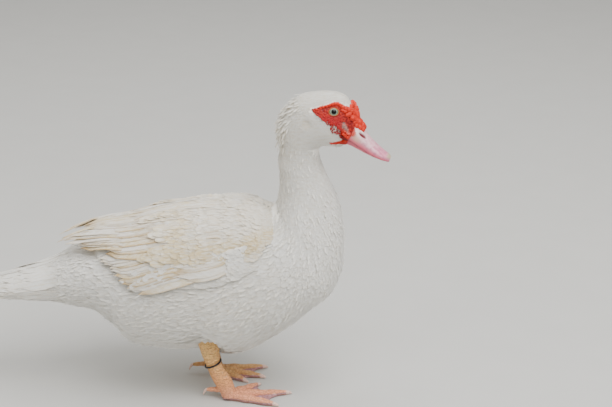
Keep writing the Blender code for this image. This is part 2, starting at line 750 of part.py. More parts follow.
def wing_feather(side, tier, rank):
    """One feather of a tier. Rank 0 is the lowest, and each lies over the one below it."""
    root_s = tier.root_low[0] + (tier.root_high[0] - tier.root_low[0]) * rank
    root_deg = tier.root_low[1] + (tier.root_high[1] - tier.root_low[1]) * rank
    tip_s = tier.tip_low[0] + (tier.tip_high[0] - tier.tip_low[0]) * rank
    tip_deg = tier.tip_low[1] + (tier.tip_high[1] - tier.tip_low[1]) * rank
    places, ups, downs = [], [], []
    for share in VANE_SHARES:
        s = root_s + (tip_s - root_s) * share
        degrees = root_deg + (tip_deg - root_deg) * share + tier.bow * math.sin(math.pi * share)
        rise = tier.root_rise + (tier.tip_rise - tier.root_rise) * min(share / RISE_SHARE, 1.0)
        theta = side_angle(side, degrees)
        places.append(body_point(s, theta, wing_lift(s, degrees) + rise))
        ups.append(body_normal(s, theta))
        downs.append(body_point(s, theta * 1.02) - body_point(s, theta))
    tilted = []
    for up, down in zip(ups, downs):
        down = (down - up * down.dot(up)).normalized()
        tilt = math.radians(tier.tilt)
        tilted.append(up * math.cos(tilt) - down * math.sin(tilt))
    return vane("wing_feather", places, tilted, [tier.half_width * width for width in VANE_WIDTHS])


def make_wing(side):
    wing = pad(f"wing_{side}", WING_PAD, side, 10, 6, WING_RIM)
    feathers = []
    for tier in WING_TIERS:
        for i in range(tier.count):
            feathers.append(wing_feather(side, tier, i / (tier.count - 1)))
    combine(wing, feathers, "UNION")
    combine(wing, [swollen_torso()], "DIFFERENCE")
    paint(wing, QUILL)
    return wing


def tail_feather(rank):
    """One long tail feather. Rank runs from -1 at the right edge to 1 at the left edge."""
    out = abs(rank)
    places, ups = [], []
    for share in VANE_SHARES:
        x = TAIL_ROOT_X + (TAIL_TIP_X + TAIL_TIP_BACK * out**2 - TAIL_ROOT_X) * share
        y = rank * (TAIL_HALF_SPREAD_ROOT + (TAIL_HALF_SPREAD_TIP - TAIL_HALF_SPREAD_ROOT) * share)
        z = (TAIL_ROOT_Z - TAIL_ROOT_FALL * out) * (1 - share) + (TAIL_TIP_Z - TAIL_TIP_FALL * out) * share
        places.append(Vector((x, y, z)))
        ups.append(Vector((0, math.sin(rank * TAIL_ROLL), math.cos(rank * TAIL_ROLL))))
    return vane("tail_feather", places, ups, [TAIL_FEATHER_HALF_WIDTH * width for width in VANE_WIDTHS])


def tail_covert(rank, above):
    """One shorter feather that covers the roots of the tail feathers from above or below."""
    places, ups = [], []
    theta = rank * (COVERT_SPREAD_ABOVE if above else COVERT_SPREAD_BELOW)
    for share in VANE_SHARES:
        s = COVERT_START + COVERT_REACH * share
        angle = theta if above else math.pi - theta
        rise = COVERT_SUNK + (COVERT_RISE - COVERT_SUNK) * share
        places.append(surface(TAIL, s, angle, rise))
        ups.append(surface_normal(TAIL, s, angle))
    return vane("tail_covert", places, ups, [COVERT_HALF_WIDTH * width for width in VANE_WIDTHS])


def make_tail():
    tail = loft("tail", TAIL, 0, len(TAIL) - 1, 5, 16, gap_start=-GAP)
    feathers = []
    for i in range(TAIL_FEATHERS):
        feathers.append(tail_feather(2 * i / (TAIL_FEATHERS - 1) - 1))
    for count, above in ((TAIL_COVERTS_ABOVE, True), (TAIL_COVERTS_BELOW, False)):
        for i in range(count):
            feathers.append(tail_covert(2 * i / (count - 1) - 1, above))
    combine(tail, feathers, "UNION")
    paint(tail, QUILL)
    return tail


def make_leg(side, stops):
    leg = tube(f"leg_{side}", stops, 10)
    combine(leg, [swollen_torso()], "DIFFERENCE")
    paint(leg, LEG_SKIN)
    return leg


def toe_stops(root, tip, root_radius, tip_radius):
    """Stops along one toe, which swells at its two middle joints."""
    stops = []
    for share, factor in zip(TOE_SHARES, TOE_SWELL):
        place = Vector(root).lerp(Vector(tip), share)
        radius = (root_radius + (tip_radius - root_radius) * share) * factor
        stops.append(Stop(place.x, place.y, place.z, radius * TOE_FLATNESS, radius))
    return stops


def web(name, ball_place, tip_a, tip_b):
    """The membrane between two toes, with a hollow front edge."""
    across, along = 4, 3
    points = []
    for height in (WEB_HIGH, WEB_LOW):
        for i in range(along + 1):
            for j in range(across + 1):
                u = j / across
                reach = WEB_START + (1 - WEB_START) * i / along
                reach *= WEB_REACH - WEB_HOLLOW * math.sin(math.pi * u)
                side_a = Vector(ball_place).lerp(Vector(tip_a), reach)
                side_b = Vector(ball_place).lerp(Vector(tip_b), reach)
                spot = side_a.lerp(side_b, u)
                points.append((spot.x, spot.y, height))
    wide, size = across + 1, (across + 1) * (along + 1)
    faces = []
    for i in range(along):
        for j in range(across):
            a = i * wide + j
            faces.append((a, a + 1, a + wide + 1, a + wide))
            faces.append((size + a, size + a + wide, size + a + wide + 1, size + a + 1))
    for i in range(along):
        for j in (0, across):
            a = i * wide + j
            faces.append((a, a + wide, size + a + wide, size + a))
    for j in range(across):
        for i in (0, along):
            a = i * wide + j
            faces.append((a, a + 1, size + a + 1, size + a))
    return mesh_object(name, points, faces)


def make_foot(side, foot, leg_stops):
    """The foot below the leg's cut, with its toes, webs and flat sole."""
    ankle = leg_stops[-1]
    ball_x, ball_y = foot.ball
    ankle_place = Vector(ankle[:3])
    way = (ankle_place - Vector(leg_stops[-2][:3])).normalized()
    heel = [
        Stop(*(ankle_place + way * GAP), ankle.along * 0.98, ankle.across * 0.98),
        Stop(*(ankle_place + way * HEEL_BELOW_ANKLE), ankle.along, ankle.across),
        Stop(ball_x, ball_y, HEEL_Z, *HEEL_RADII),
        Stop(ball_x + 0.0005, ball_y, -HEEL_Z, 0.0070, 0.0070),
    ]
    body = tube(f"foot_{side}", heel, 10)
    pieces = [ball("sole", Vector((ball_x, ball_y, SOLE_Z)), SOLE_RADII)]
    for tip in (foot.outer, foot.middle, foot.inner):
        stops = toe_stops((*foot.ball, TOE_ROOT_Z), (*tip, TOE_TIP_Z), TOE_ROOT_RADIUS, TOE_TIP_RADIUS)
        pieces.append(tube("toe", stops, 8))
    root = (ankle.x, ankle.y, HALLUX_ROOT_Z)
    stops = toe_stops(root, (*foot.hallux, HALLUX_TIP_Z), HALLUX_ROOT_RADIUS, HALLUX_TIP_RADIUS)
    pieces.append(tube("hallux", stops, 6))
    pieces.append(web("web_outer", foot.ball, foot.outer, foot.middle))
    pieces.append(web("web_inner", foot.ball, foot.middle, foot.inner))
    combine(body, pieces, "UNION")
    combine(body, [block("floor", (-0.3, -0.3, -0.05), (0.3, 0.3, 0.0))], "DIFFERENCE")
    paint(body, LEG_SKIN)
    return body


def make_claw(name, root, tip, radius):
    """A claw that goes on from the end of its toe and bends down towards the floor."""
    way = (Vector(tip) - Vector(root)).normalized()
    start = Vector(tip) + way * GAP
    length = CLAW_LENGTH * radius / TOE_TIP_RADIUS
    stops = []
    for share, size in CLAW_PROFILE:
        place = start + way * (length * share)
        drop = (start.z - CLAW_TIP_Z) * max(share - CLAW_PROFILE[1][0], 0.0) ** 2
        height, width = radius * CLAW_HEIGHT_SHARE * size, radius * CLAW_WIDTH_SHARE * size
        stops.append(Stop(place.x, place.y, place.z - drop, height, width))
    claw = tube(name, stops, 6)
    paint(claw, CLAW_HORN)
    return claw


def make_band():
    """The loose black ring on the right leg, square to the shin below it."""
    here = LEG_RIGHT[BAND_STOP]
    below = LEG_RIGHT[BAND_STOP + 1]
    axis = Vector(here[:3]) - Vector(below[:3])
    band = torus("leg_band", Vector(here[:3]), axis, BAND_MAJOR, BAND_MINOR, 18, 6)
    paint(band, BAND_PLASTIC)
    return band


def main():
    clear_scene()
    make_torso()
    make_neck()
    make_head()
    make_bill_upper()
    make_bill_lower()
    make_knob()
    make_tail()
    make_band()
    for side, stops, foot in (("right", LEG_RIGHT, FOOT_RIGHT), ("left", LEG_LEFT, FOOT_LEFT)):
        make_eye(side)
        make_face(side)
        make_wing(side)
        make_leg(side, stops)
        make_foot(side, foot, stops)
        for toe in ("outer", "middle", "inner"):
            root = (*foot.ball, TOE_ROOT_Z)
            tip = (*getattr(foot, toe), TOE_TIP_Z)
            make_claw(f"claw_{toe}_{side}", root, tip, TOE_TIP_RADIUS)
        root = (stops[-1].x, stops[-1].y, HALLUX_ROOT_Z)
        make_claw(f"claw_hallux_{side}", root, (*foot.hallux, HALLUX_TIP_Z), HALLUX_TIP_RADIUS)


main()
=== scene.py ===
"""The looks of a life-size white muscovy duck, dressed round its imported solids.

One skin follows the same rings as the solids and lies inside them by the depth of the plumage. Small body
feathers are scattered over it by Geometry Nodes. The flight, covert and tail feathers are built one by one.
The bare red face, the bill, the eyes, the feet, the claws and the leg band are finer meshes than the solids.
All places are in metres, in the frame of the solids: +X to the bill, +Y to the bird's left, +Z up.
"""

import json
import logging
import math
from dataclasses import astuple, dataclass, field
from enum import Enum
from functools import partial
from typing import Any

import bpy
import numpy as np
from mathutils import Matrix, Vector

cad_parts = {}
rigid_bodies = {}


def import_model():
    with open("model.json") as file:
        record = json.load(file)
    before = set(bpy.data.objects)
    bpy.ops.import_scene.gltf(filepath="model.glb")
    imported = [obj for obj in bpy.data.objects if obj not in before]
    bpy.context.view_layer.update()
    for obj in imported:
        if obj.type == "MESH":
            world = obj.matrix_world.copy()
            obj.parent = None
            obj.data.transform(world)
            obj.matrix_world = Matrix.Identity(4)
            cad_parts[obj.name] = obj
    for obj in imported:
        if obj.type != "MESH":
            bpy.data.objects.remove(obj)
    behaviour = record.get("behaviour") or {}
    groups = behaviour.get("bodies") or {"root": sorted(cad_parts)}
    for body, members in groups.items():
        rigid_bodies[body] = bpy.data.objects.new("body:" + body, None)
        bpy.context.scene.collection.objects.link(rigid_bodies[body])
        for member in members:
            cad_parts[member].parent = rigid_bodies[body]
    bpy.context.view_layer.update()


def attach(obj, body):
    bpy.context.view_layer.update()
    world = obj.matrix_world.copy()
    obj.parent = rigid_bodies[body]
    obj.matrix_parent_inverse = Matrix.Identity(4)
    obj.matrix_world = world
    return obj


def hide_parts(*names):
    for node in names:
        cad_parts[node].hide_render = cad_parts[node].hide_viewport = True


for leftover in list(bpy.data.objects):
    bpy.data.objects.remove(leftover, do_unlink=True)
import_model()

# Short names for the types that most functions take or give.
Array = np.ndarray
Material = bpy.types.Material
Piece = bpy.types.Object
Socket = bpy.types.NodeSocket

LOG = logging.getLogger("muscovy_duck")
ROOT_BODY = "root"
SEED = 7
SHARP_RIM = math.radians(65)


def colour(code: str) -> tuple[float, float, float, float]:
    """Turns an sRGB hex code into linear RGBA.

    Args:
        code: Six hex digits, such as "F2F1EC".

    Returns:
        The linear colour with alpha 1.
    """
    shares = [int(code[i : i + 2], 16) / 255 for i in (0, 2, 4)]
    linear = [c / 12.92 if c <= 0.04045 else ((c + 0.055) / 1.055) ** 2.4 for c in shares]
    return (*linear, 1.0)


def per_mm(size: float) -> float:
    """Gives the scale of a pattern in metres whose features are this many millimetres across."""
    return 1000.0 / size


def unit(vectors: Array) -> Array:
    """Rows of vectors, each brought to length 1."""
    return vectors / np.linalg.norm(vectors, axis=1, keepdims=True)


def swell(share: Array) -> Array:
    """A share from 0 to 1 that starts and ends softly."""
    return share * share * (3 - 2 * share)


def ramp(values: Array, start: float | Array, width: float | Array) -> Array:
    """How far values are past start, as a share of width, 0 to 1. Before start where width is negative."""
    return np.clip((values - start) / width, 0, 1)


def bell(values: Array, middle: float, width: float) -> Array:
    """A soft bump of height 1 round a middle value."""
    return np.exp(-(((values - middle) / width) ** 2))


class Side(Enum):
    """A side of the bird, with the sign of its ring angles."""

    RIGHT = 1
    LEFT = -1

    @property
    def word(self) -> str:
        """The side's name in lower case, as the nodes use it."""
        return self.name.lower()


@dataclass(frozen=True)
class Ring:
    """One planar ring of a loft, between a point of the back line and one of the belly line."""

    back_x: float
    back_z: float
    belly_x: float
    belly_z: float
    half_width: float
    egg: float


FLESH_ROWS = (
    (-0.2320, 0.1300, -0.2320, 0.1255, 0.0215, 0.00),
    (-0.2150, 0.1355, -0.2150, 0.1225, 0.0290, 0.00),
    (-0.1900, 0.1440, -0.1900, 0.1195, 0.0340, 0.00),
    (-0.1650, 0.1535, -0.1650, 0.1170, 0.0368, 0.00),
    (-0.1450, 0.1625, -0.1450, 0.1135, 0.0390, 0.00),
    (-0.1180, 0.1790, -0.1180, 0.1080, 0.0500, 0.00),
    (-0.0920, 0.1905, -0.0920, 0.1010, 0.0590, 0.00),
    (-0.0685, 0.1995, -0.0685, 0.0810, 0.0670, 0.02),
    (-0.0450, 0.2070, -0.0450, 0.0620, 0.0740, 0.04),
    (-0.0050, 0.2195, -0.0050, 0.0570, 0.0820, 0.05),
    (0.0350, 0.2265, 0.0370, 0.0520, 0.0855, 0.05),
    (0.0580, 0.2300, 0.0620, 0.0475, 0.0860, 0.06),
    (0.0780, 0.2325, 0.0850, 0.0535, 0.0850, 0.06),
    (0.1000, 0.2305, 0.1100, 0.0680, 0.0830, 0.08),
    (0.1130, 0.2300, 0.1350, 0.0850, 0.0810, 0.10),
    (0.1180, 0.2325, 0.1650, 0.1090, 0.0765, 0.10),
    (0.1200, 0.2360, 0.1880, 0.1310, 0.0700, 0.10),
    (0.1210, 0.2410, 0.1985, 0.1570, 0.0620, 0.08),
    (0.1220, 0.2470, 0.2008, 0.1870, 0.0540, 0.06),
    (0.1230, 0.2550, 0.1990, 0.2150, 0.0450, 0.04),
    (0.1235, 0.2640, 0.1930, 0.2400, 0.0370, 0.02),
    (0.1230, 0.2760, 0.1825, 0.2640, 0.0300, 0.00),
    (0.1222, 0.2900, 0.1740, 0.2840, 0.0262, 0.00),
    (0.1235, 0.3020, 0.1715, 0.2960, 0.0245, 0.00),
    (0.1228, 0.3160, 0.1725, 0.3025, 0.0245, 0.00),
    (0.1225, 0.3300, 0.1755, 0.3055, 0.0255, 0.00),
    (0.1275, 0.3435, 0.1795, 0.3068, 0.0262, 0.00),
    (0.1370, 0.3568, 0.1835, 0.3065, 0.0266, -0.02),
    (0.1510, 0.3670, 0.1880, 0.3060, 0.0265, -0.03),
    (0.1685, 0.3708, 0.1935, 0.3055, 0.0255, -0.04),
    (0.1835, 0.3716, 0.1962, 0.3060, 0.0235, -0.04),
    (0.1960, 0.3694, 0.1982, 0.3068, 0.0210, -0.04),
    (0.2058, 0.3612, 0.2000, 0.3082, 0.0180, -0.04),
    (0.2150, 0.3385, 0.2022, 0.3098, 0.0155, -0.04),
)
FLESH_RINGS = tuple(Ring(*row) for row in FLESH_ROWS)
TAIL_RINGS = 4
LAST_RING = len(FLESH_RINGS) - 1 - TAIL_RINGS

BILL_ROWS = (
    (0.2150, 0.3385, 0.2022, 0.3098, 0.0148, -0.04),
    (0.2225, 0.3275, 0.2100, 0.3068, 0.0138, -0.04),
    (0.2300, 0.3180, 0.2200, 0.3018, 0.0130, -0.04),
    (0.2390, 0.3088, 0.2305, 0.2968, 0.0128, -0.04),
    (0.2465, 0.3022, 0.2400, 0.2932, 0.0118, -0.04),
    (0.2515, 0.2985, 0.2475, 0.2908, 0.0092, -0.04),
    (0.2540, 0.2955, 0.2520, 0.2896, 0.0045, -0.04),
)
BILL_RINGS = tuple(Ring(*row) for row in BILL_ROWS)


@dataclass(frozen=True)
class HeadTurn:
    """The turn of the head about the neck, which grows from the neck's foot to its top."""

    yaw: float = math.radians(-8)
    axis_x: float = 0.148
    start_z: float = 0.262
    end_z: float = 0.290

    def apply(self, points: Array) -> Array:
        """Turns points about the neck's axis by the share that their height gives.

        Args:
            points: An (N, 3) array.

        Returns:
            The turned points.
        """
        share = ramp(points[:, 2], self.start_z, self.end_z - self.start_z)
        angle = self.yaw * swell(share)
        x, y = points[:, 0] - self.axis_x, points[:, 1]
        turned = points.copy()
        turned[:, 0] = self.axis_x + x * np.cos(angle) - y * np.sin(angle)
        turned[:, 1] = x * np.sin(angle) + y * np.cos(angle)
        return turned


class Loft:
    """A smooth tube through rings. Ring numbers may start below zero; angle 0 is the back line."""

    roundness = 2.15

    def __init__(self, rings: tuple[Ring, ...], first: int = 0) -> None:
        """Keeps the rings as a table, whose first ring has the number first."""
        self.table = np.array([astuple(ring) for ring in rings])
        self.first = first
        self.turn = HeadTurn()

    def rows(self, s: Array) -> Array:
        """Gives the ring values at ring numbers s, on a Catmull-Rom curve, as an (N, 6) array."""
        last = len(self.table) - 1
        place = np.clip(s - self.first, 0, last - 1e-9)
        i = place.astype(int)
        t = (place - i)[:, None]
        a, b = self.table[np.maximum(i - 1, 0)], self.table[i]
        c, d = self.table[i + 1], self.table[np.minimum(i + 2, last)]
        bend = (2 * a - 5 * b + 4 * c - d) * t**2 + (-a + 3 * b - 3 * c + d) * t**3
        return 0.5 * (2 * b + (c - a) * t + bend)

    def section(self, s: Array, theta: Array) -> Array:
        """Gives points on the untouched rings, before the head's turn."""
        rows = self.rows(s)
        zero = np.zeros(len(rows))
        back = np.stack([rows[:, 0], zero, rows[:, 1]], axis=1)
        belly = np.stack([rows[:, 2], zero, rows[:, 3]], axis=1)
        cosine, sine = np.cos(theta), np.sin(theta)
        rise = np.sign(cosine) * np.abs(cosine) ** (2 / self.roundness)
        side = np.sign(sine) * np.abs(sine) ** (2 / self.roundness)
        points = (back + belly) / 2 + (back - belly) / 2 * rise[:, None]
        points[:, 1] -= rows[:, 4] * side * (1 - rows[:, 5] * cosine)
        return points

    def straight_normals(self, s: Array, theta: Array, turned: bool = False) -> Array:
        """Gives outward unit normals, before or after the head's turn."""
        step = 0.02
        low, high = self.first + step, self.first + len(self.table) - 1 - step
        s = np.clip(s, low, high)
        shift = self.turn.apply if turned else (lambda points: points)
        along = shift(self.section(s + step, theta)) - shift(self.section(s - step, theta))
        round_ring = shift(self.section(s, theta + step)) - shift(self.section(s, theta - step))
        normals = np.cross(along, round_ring)
        middle = (self.section(s, theta * 0) + self.section(s, theta * 0 + math.pi)) / 2
        outward = np.einsum("ij,ij->i", normals, shift(self.section(s, theta)) - shift(middle))
        normals *= np.where(outward < 0, -1.0, 1.0)[:, None]
        return unit(normals)

    def points(self, s: Array, theta: Array, lift: Array | float = 0.0) -> Array:
        """Gives points moved out of the surface by lift, after the head's turn.

        Args:
            s: Ring numbers.
            theta: Ring angles in radians.
            lift: Metres out of the surface, for all points or for each.

        Returns:
            An (N, 3) array.
        """
        s, theta = np.broadcast_arrays(np.asarray(s, float), np.asarray(theta, float))
        out = np.broadcast_to(np.asarray(lift, float), s.shape)
        base = self.section(s, theta) + self.straight_normals(s, theta) * out[:, None]
        return self.turn.apply(base)

    def normals(self, s: Array, theta: Array) -> Array:
        """Gives outward unit normals after the head's turn."""
        s, theta = np.broadcast_arrays(np.asarray(s, float), np.asarray(theta, float))
        return self.straight_normals(s, theta, turned=True)

    def one(self, s: float, degrees: float, lift: float = 0.0) -> Vector:
        """Gives one point of the surface."""
        return Vector(self.points(np.array([s]), np.radians([degrees]), lift)[0])

    def one_normal(self, s: float, degrees: float) -> Vector:
        """Gives one outward normal of the surface."""
        return Vector(self.normals(np.array([s]), np.radians([degrees]))[0])

    def unwrap(self, s: Array, theta: Array) -> Array:
        """Gives the place of each point on the unwrapped loft, as an (N, 2) array within 0 to 1."""
        u = (np.asarray(s, float) - self.first) / (len(self.table) - 1)
        v = np.mod(np.asarray(theta, float) / (2 * math.pi), 1.0)
        return np.stack([0.01 + 0.97 * u, 0.01 + 0.97 * v], axis=-1)


FLESH = Loft(FLESH_RINGS, -TAIL_RINGS)
BILL = Loft(BILL_RINGS)


def add_node(tree: bpy.types.NodeTree, kind: str, *values: Any, **named: Any) -> Socket | None:
    """Adds a node with its settings and links.

    Args:
        tree: The tree that it goes in.
        kind: The node's type.
        *values: What its open inputs get, in order. A socket is linked, and any other value is set.
        **named: A keyword in lower case is a setting. One with a capital is an input's name, with an
            underscore for each space.

    Returns:
        The node's first open output, or None.
    """
    node = tree.nodes.new(kind)
    for key, value in named.items():
        if key[0].islower():
            setattr(node, key, value)
    pairs = list(zip([socket for socket in node.inputs if socket.enabled], values))
    capitals = [key for key in named if key[0].isupper()]
    pairs += [(node.inputs[key.replace("_", " ")], named[key]) for key in capitals]
    for socket, value in pairs:
        if isinstance(value, Socket):
            tree.links.new(value, socket)
        else:
            socket.default_value = value
    return next((socket for socket in node.outputs if socket.enabled), None)


class Graph:
    """A material and its node tree."""

    def __init__(self, name: str) -> None:
        """Starts a material with this name."""
        self.material = bpy.data.materials.new(name)
        self.material.use_nodes = True
        self.tree = self.material.node_tree
        self.shader = self.tree.nodes["Principled BSDF"]
        self.place = self.add("TexCoord").node.outputs["Object"]

    def add(self, kind: str, *values: Any, **named: Any) -> Socket:
        """Adds a shader node, as add_node does."""
        return add_node(self.tree, f"ShaderNode{kind}", *values, **named)

    def paint(self, base: str | Socket, *coats: tuple) -> Socket:
        """Lays colours over each other.

        Args:
            base: The lowest colour, a hex code or a socket.
            *coats: The hex code of each further colour, and the shares whose product says how far it covers.

        Returns:
            The colour's socket.
        """
        under = colour(base) if isinstance(base, str) else base
        for code, share, *others in coats:
            for other in others:
                share = self.add("Math", share, other, operation="MULTIPLY")
            under = self.add("Mix", share, under, colour(code), data_type="RGBA")
        return under

    def bump(self, height: Socket, strength: float, depth_mm: float, skin_share: float = 0.0) -> None:
        """Lets the shader's normal follow a height, and where asked the skin under the feathers.

        Args:
            height: The relief, about 0 to 1.
            strength: How much of it shows.
            depth_mm: How deep it is.
            skin_share: How much of the skin's own normal is blended in.
        """
        bump = self.add("Bump", Strength=strength, Distance=depth_mm / 1000, Height=height)
        if skin_share:
            own = self.add("NewGeometry").node.outputs["Normal"]
            skin = self.add("Attribute", attribute_name="skin_normal").node.outputs["Vector"]
            agree = self.add("VectorMath", own, skin, operation="DOT_PRODUCT")
            share = self.add("MapRange", agree, 0.0, 0.7, 0.0, skin_share)
            leaning = self.add("VectorMath", skin, share, operation="MULTIPLY")
            blend = self.add("VectorMath", own, leaning, operation="ADD")
            leaned = self.add("VectorMath", blend, operation="NORMALIZE")
            self.tree.links.new(leaned, bump.node.inputs["Normal"])
        self.tree.links.new(bump, self.shader.inputs["Normal"])

    def finish(self, base: Socket, **values: Any) -> Material:
        """Sets the base colour and the plain numbers of the shader, and returns the material."""
        self.tree.links.new(base, self.shader.inputs["Base Color"])
        for key, value in values.items():
            self.shader.inputs[key.replace("_", " ")].default_value = value
        return self.material


@dataclass(frozen=True)
class PlumageFinish:
    """White feathers, as they grow: matt, soft at grazing light, with cream stains.
    Each feather is greyer towards its root: painted shade between the overlapping feathers.
    The cream that the tint mark gives on the nape and round the ears is painted shade.

    Real barbs are finer than the render can split, so the fine relief is drawn coarser than life.
    """

    clean: str = "F3F1EA"
    stain: str = "DDC79A"
    edge: str = "B58E55"
    shade: str = "D9CBAF"
    # Painted shade: the grey that each feather gets towards its root, where the feathers overlap.
    root: str = "DDDBD1"
    quill: str = "E3CFA4"
    streak_mm: float = 1.8
    cloud_mm: float = 22.0
    barb_waves: float = 60.0
    skin_share: float = 2.3

    def build(self, name: str, shaft: bool) -> Material:
        """Makes the material.

        Args:
            name: The material's name.
            shaft: Whether each feather shows a pale horn shaft.

        Returns:
            The material.
        """
        graph = Graph(name)
        local = graph.add("Attribute", attribute_name="local_uv").node.outputs["Vector"]
        across, along, _ = graph.add("SeparateXYZ", local).node.outputs
        off_middle = graph.add("Math", across, 0.5, operation="SUBTRACT")
        off_shaft = graph.add("Math", off_middle, operation="ABSOLUTE")
        drawn_out = graph.add("VectorMath", graph.place, (0.20, 1.0, 1.0), operation="MULTIPLY")
        streaks = graph.add("TexNoise", drawn_out, per_mm(self.streak_mm), 4)
        clouds = graph.add("TexNoise", graph.place, per_mm(self.cloud_mm), 3)
        tint = graph.add("Attribute", attribute_name="tint").node.outputs["Fac"]
        cloudy = graph.add("MapRange", clouds, 0.35, 0.65, 0.65, 1.0)
        streaky = graph.add("MapRange", streaks, 0.35, 0.65, 0.55, 1.4)
        base = graph.paint(
            self.root,
            # Grey at the root, clean towards the tip: painted shade between the overlapping feathers.
            (self.clean, graph.add("MapRange", along, 0.0, 0.55)),
            (self.shade, graph.add("MapRange", streaks, 0.46, 0.68, 0.0, 0.30)),
            # The tint mark's cream: stain, and painted shade on the nape and round the ears.
            (self.stain, tint, cloudy, streaky),
        )
        if shaft:
            rim = graph.add("MapRange", off_shaft, 0.34, 0.5)
            worn = graph.add("Math", rim, graph.add("MapRange", along, 0.80, 1.0), operation="MAXIMUM")
            line = graph.add("MapRange", off_shaft, 0.012, 0.035, 0.55, 0.0)
            base = graph.paint(base, (self.quill, line), (self.edge, worn, tint))
        slant = graph.add("Math", off_shaft, 1.6, operation="MULTIPLY")
        barbs = graph.add("Math", along, 3.0, slant, operation="MULTIPLY_ADD")
        waves = graph.add("Math", barbs, self.barb_waves, operation="MULTIPLY")
        graph.bump(graph.add("Math", waves, operation="SINE"), 0.22, 0.10, self.skin_share)
        return graph.finish(
            base,
            Roughness=0.8,
            Sheen_Weight=0.3,
            Sheen_Roughness=0.5,
            Specular_IOR_Level=0.2,
            Subsurface_Weight=0.4,
            Subsurface_Scale=0.003,
            Subsurface_Radius=(1.0, 0.95, 0.85),
        )


@dataclass(frozen=True)
class RedSkinFinish:
    """Bare warty skin: moist, orange-red on the bulbs, crimson under the eye, with dark crimson painted
    shade in the folds between bulbs and in the pits of the warts.
    """

    bulb: str = "CF270B"
    # Painted shade: the dark crimson of the folds and of the pits between warts.
    fold: str = "7C0A10"
    bloom: str = "E2561F"
    crimson: str = "B01020"
    pale: str = "F0D9CC"

    def build(self, name: str) -> Material:
        """Makes the material of this name."""
        graph = Graph(name)
        names = ("height", "deep", "pale")
        marks = [graph.add("Attribute", attribute_name=name) for name in names]
        height, deep, pale = (mark.node.outputs["Fac"] for mark in marks)
        patches, warts, pores = (
            graph.add("TexNoise", graph.place, per_mm(size_mm), detail)
            for size_mm, detail in ((2.2, 4), (1.3, 5), (0.5, 3))
        )
        lumps = graph.add("Math", pores, 0.3, warts, operation="MULTIPLY_ADD")
        base = graph.paint(
            self.fold,
            # The low ground between bulbs keeps the fold colour: painted shade.
            (self.bulb, graph.add("MapRange", height, 0.05, 0.55)),
            (self.crimson, deep, 0.65),
            (self.bloom, graph.add("MapRange", patches, 0.55, 0.75, 0.0, 0.35)),
            # The low parts of the warts get the fold colour: painted shade in their pits.
            (self.fold, graph.add("MapRange", lumps, 0.66, 0.50, 0.0, 0.45)),
            (self.pale, pale),
        )
        graph.bump(lumps, 0.8, 0.6)
        return graph.finish(base, Roughness=0.48, Specular_IOR_Level=0.3)


@dataclass(frozen=True)
class BillFinish:
    """Smooth horn: pink, deeper along the edges, with a pale nail; whitish over the nostrils and the upper
    side, partly pale horn and partly a painted highlight; dark red painted shade in the nostrils and the
    mouth line.
    """

    pink: str = "D98CA2"
    edge: str = "D2566A"
    # Partly the horn's pale colour and partly a painted highlight on the upper side.
    white: str = "EBDCD8"
    mauve: str = "B4557C"
    tan: str = "CFB391"
    nail: str = "BCA690"
    gum: str = "C62E12"
    # Painted shade: the dark red inside the nostrils and along the mouth line.
    dark: str = "6A1420"

    def build(self, name: str) -> Material:
        """Makes the material of this name."""
        graph = Graph(name)
        names = ("along", "around", "tan", "nail", "gum", "dark")
        marks = [graph.add("Attribute", attribute_name=name) for name in names]
        along, around, tan, nail, gum, dark = (mark.node.outputs["Fac"] for mark in marks)
        flattened = graph.add("VectorMath", graph.place, (0.6, 1.0, 0.6), operation="MULTIPLY")
        mottle, blotch, ragged, grain = (
            graph.add("TexNoise", place, per_mm(size_mm), detail)
            for place, size_mm, detail in (
                (graph.place, 4.0, 5), (flattened, 2.6, 5), (graph.place, 1.0, 4), (graph.place, 1.1, 4),
            )
        )
        to_tip, to_ridge = graph.add("MapRange", along, 0.62, 0.10), graph.add("MapRange", around, 0.62, 0.2)
        from_root = graph.add("MapRange", along, 0.10, 0.60, 0.35, 1.0)
        base = graph.paint(
            self.pink,
            (self.edge, graph.add("MapRange", around, 0.35, 0.85)),
            # Whitish over the upper side near the root: pale horn, and a painted highlight.
            (self.white, to_tip, to_ridge, graph.add("MapRange", mottle, 0.3, 0.62, 0.55, 1.0)),
            (self.mauve, graph.add("MapRange", blotch, 0.46, 0.62, 0.0, 0.60), from_root),
            (self.tan, tan),
            (self.nail, nail),
            (self.gum, gum, graph.add("MapRange", ragged, 0.30, 0.55, 0.65, 1.0)),
            # Painted shade in the nostrils and along the mouth line.
            (self.dark, dark),
        )
        graph.bump(grain, 0.25, 0.12)
        shine = {"Specular_IOR_Level": 0.5, "Coat_Weight": 0.15, "Coat_Roughness": 0.2}
        return graph.finish(base, Roughness=0.36, **shine)


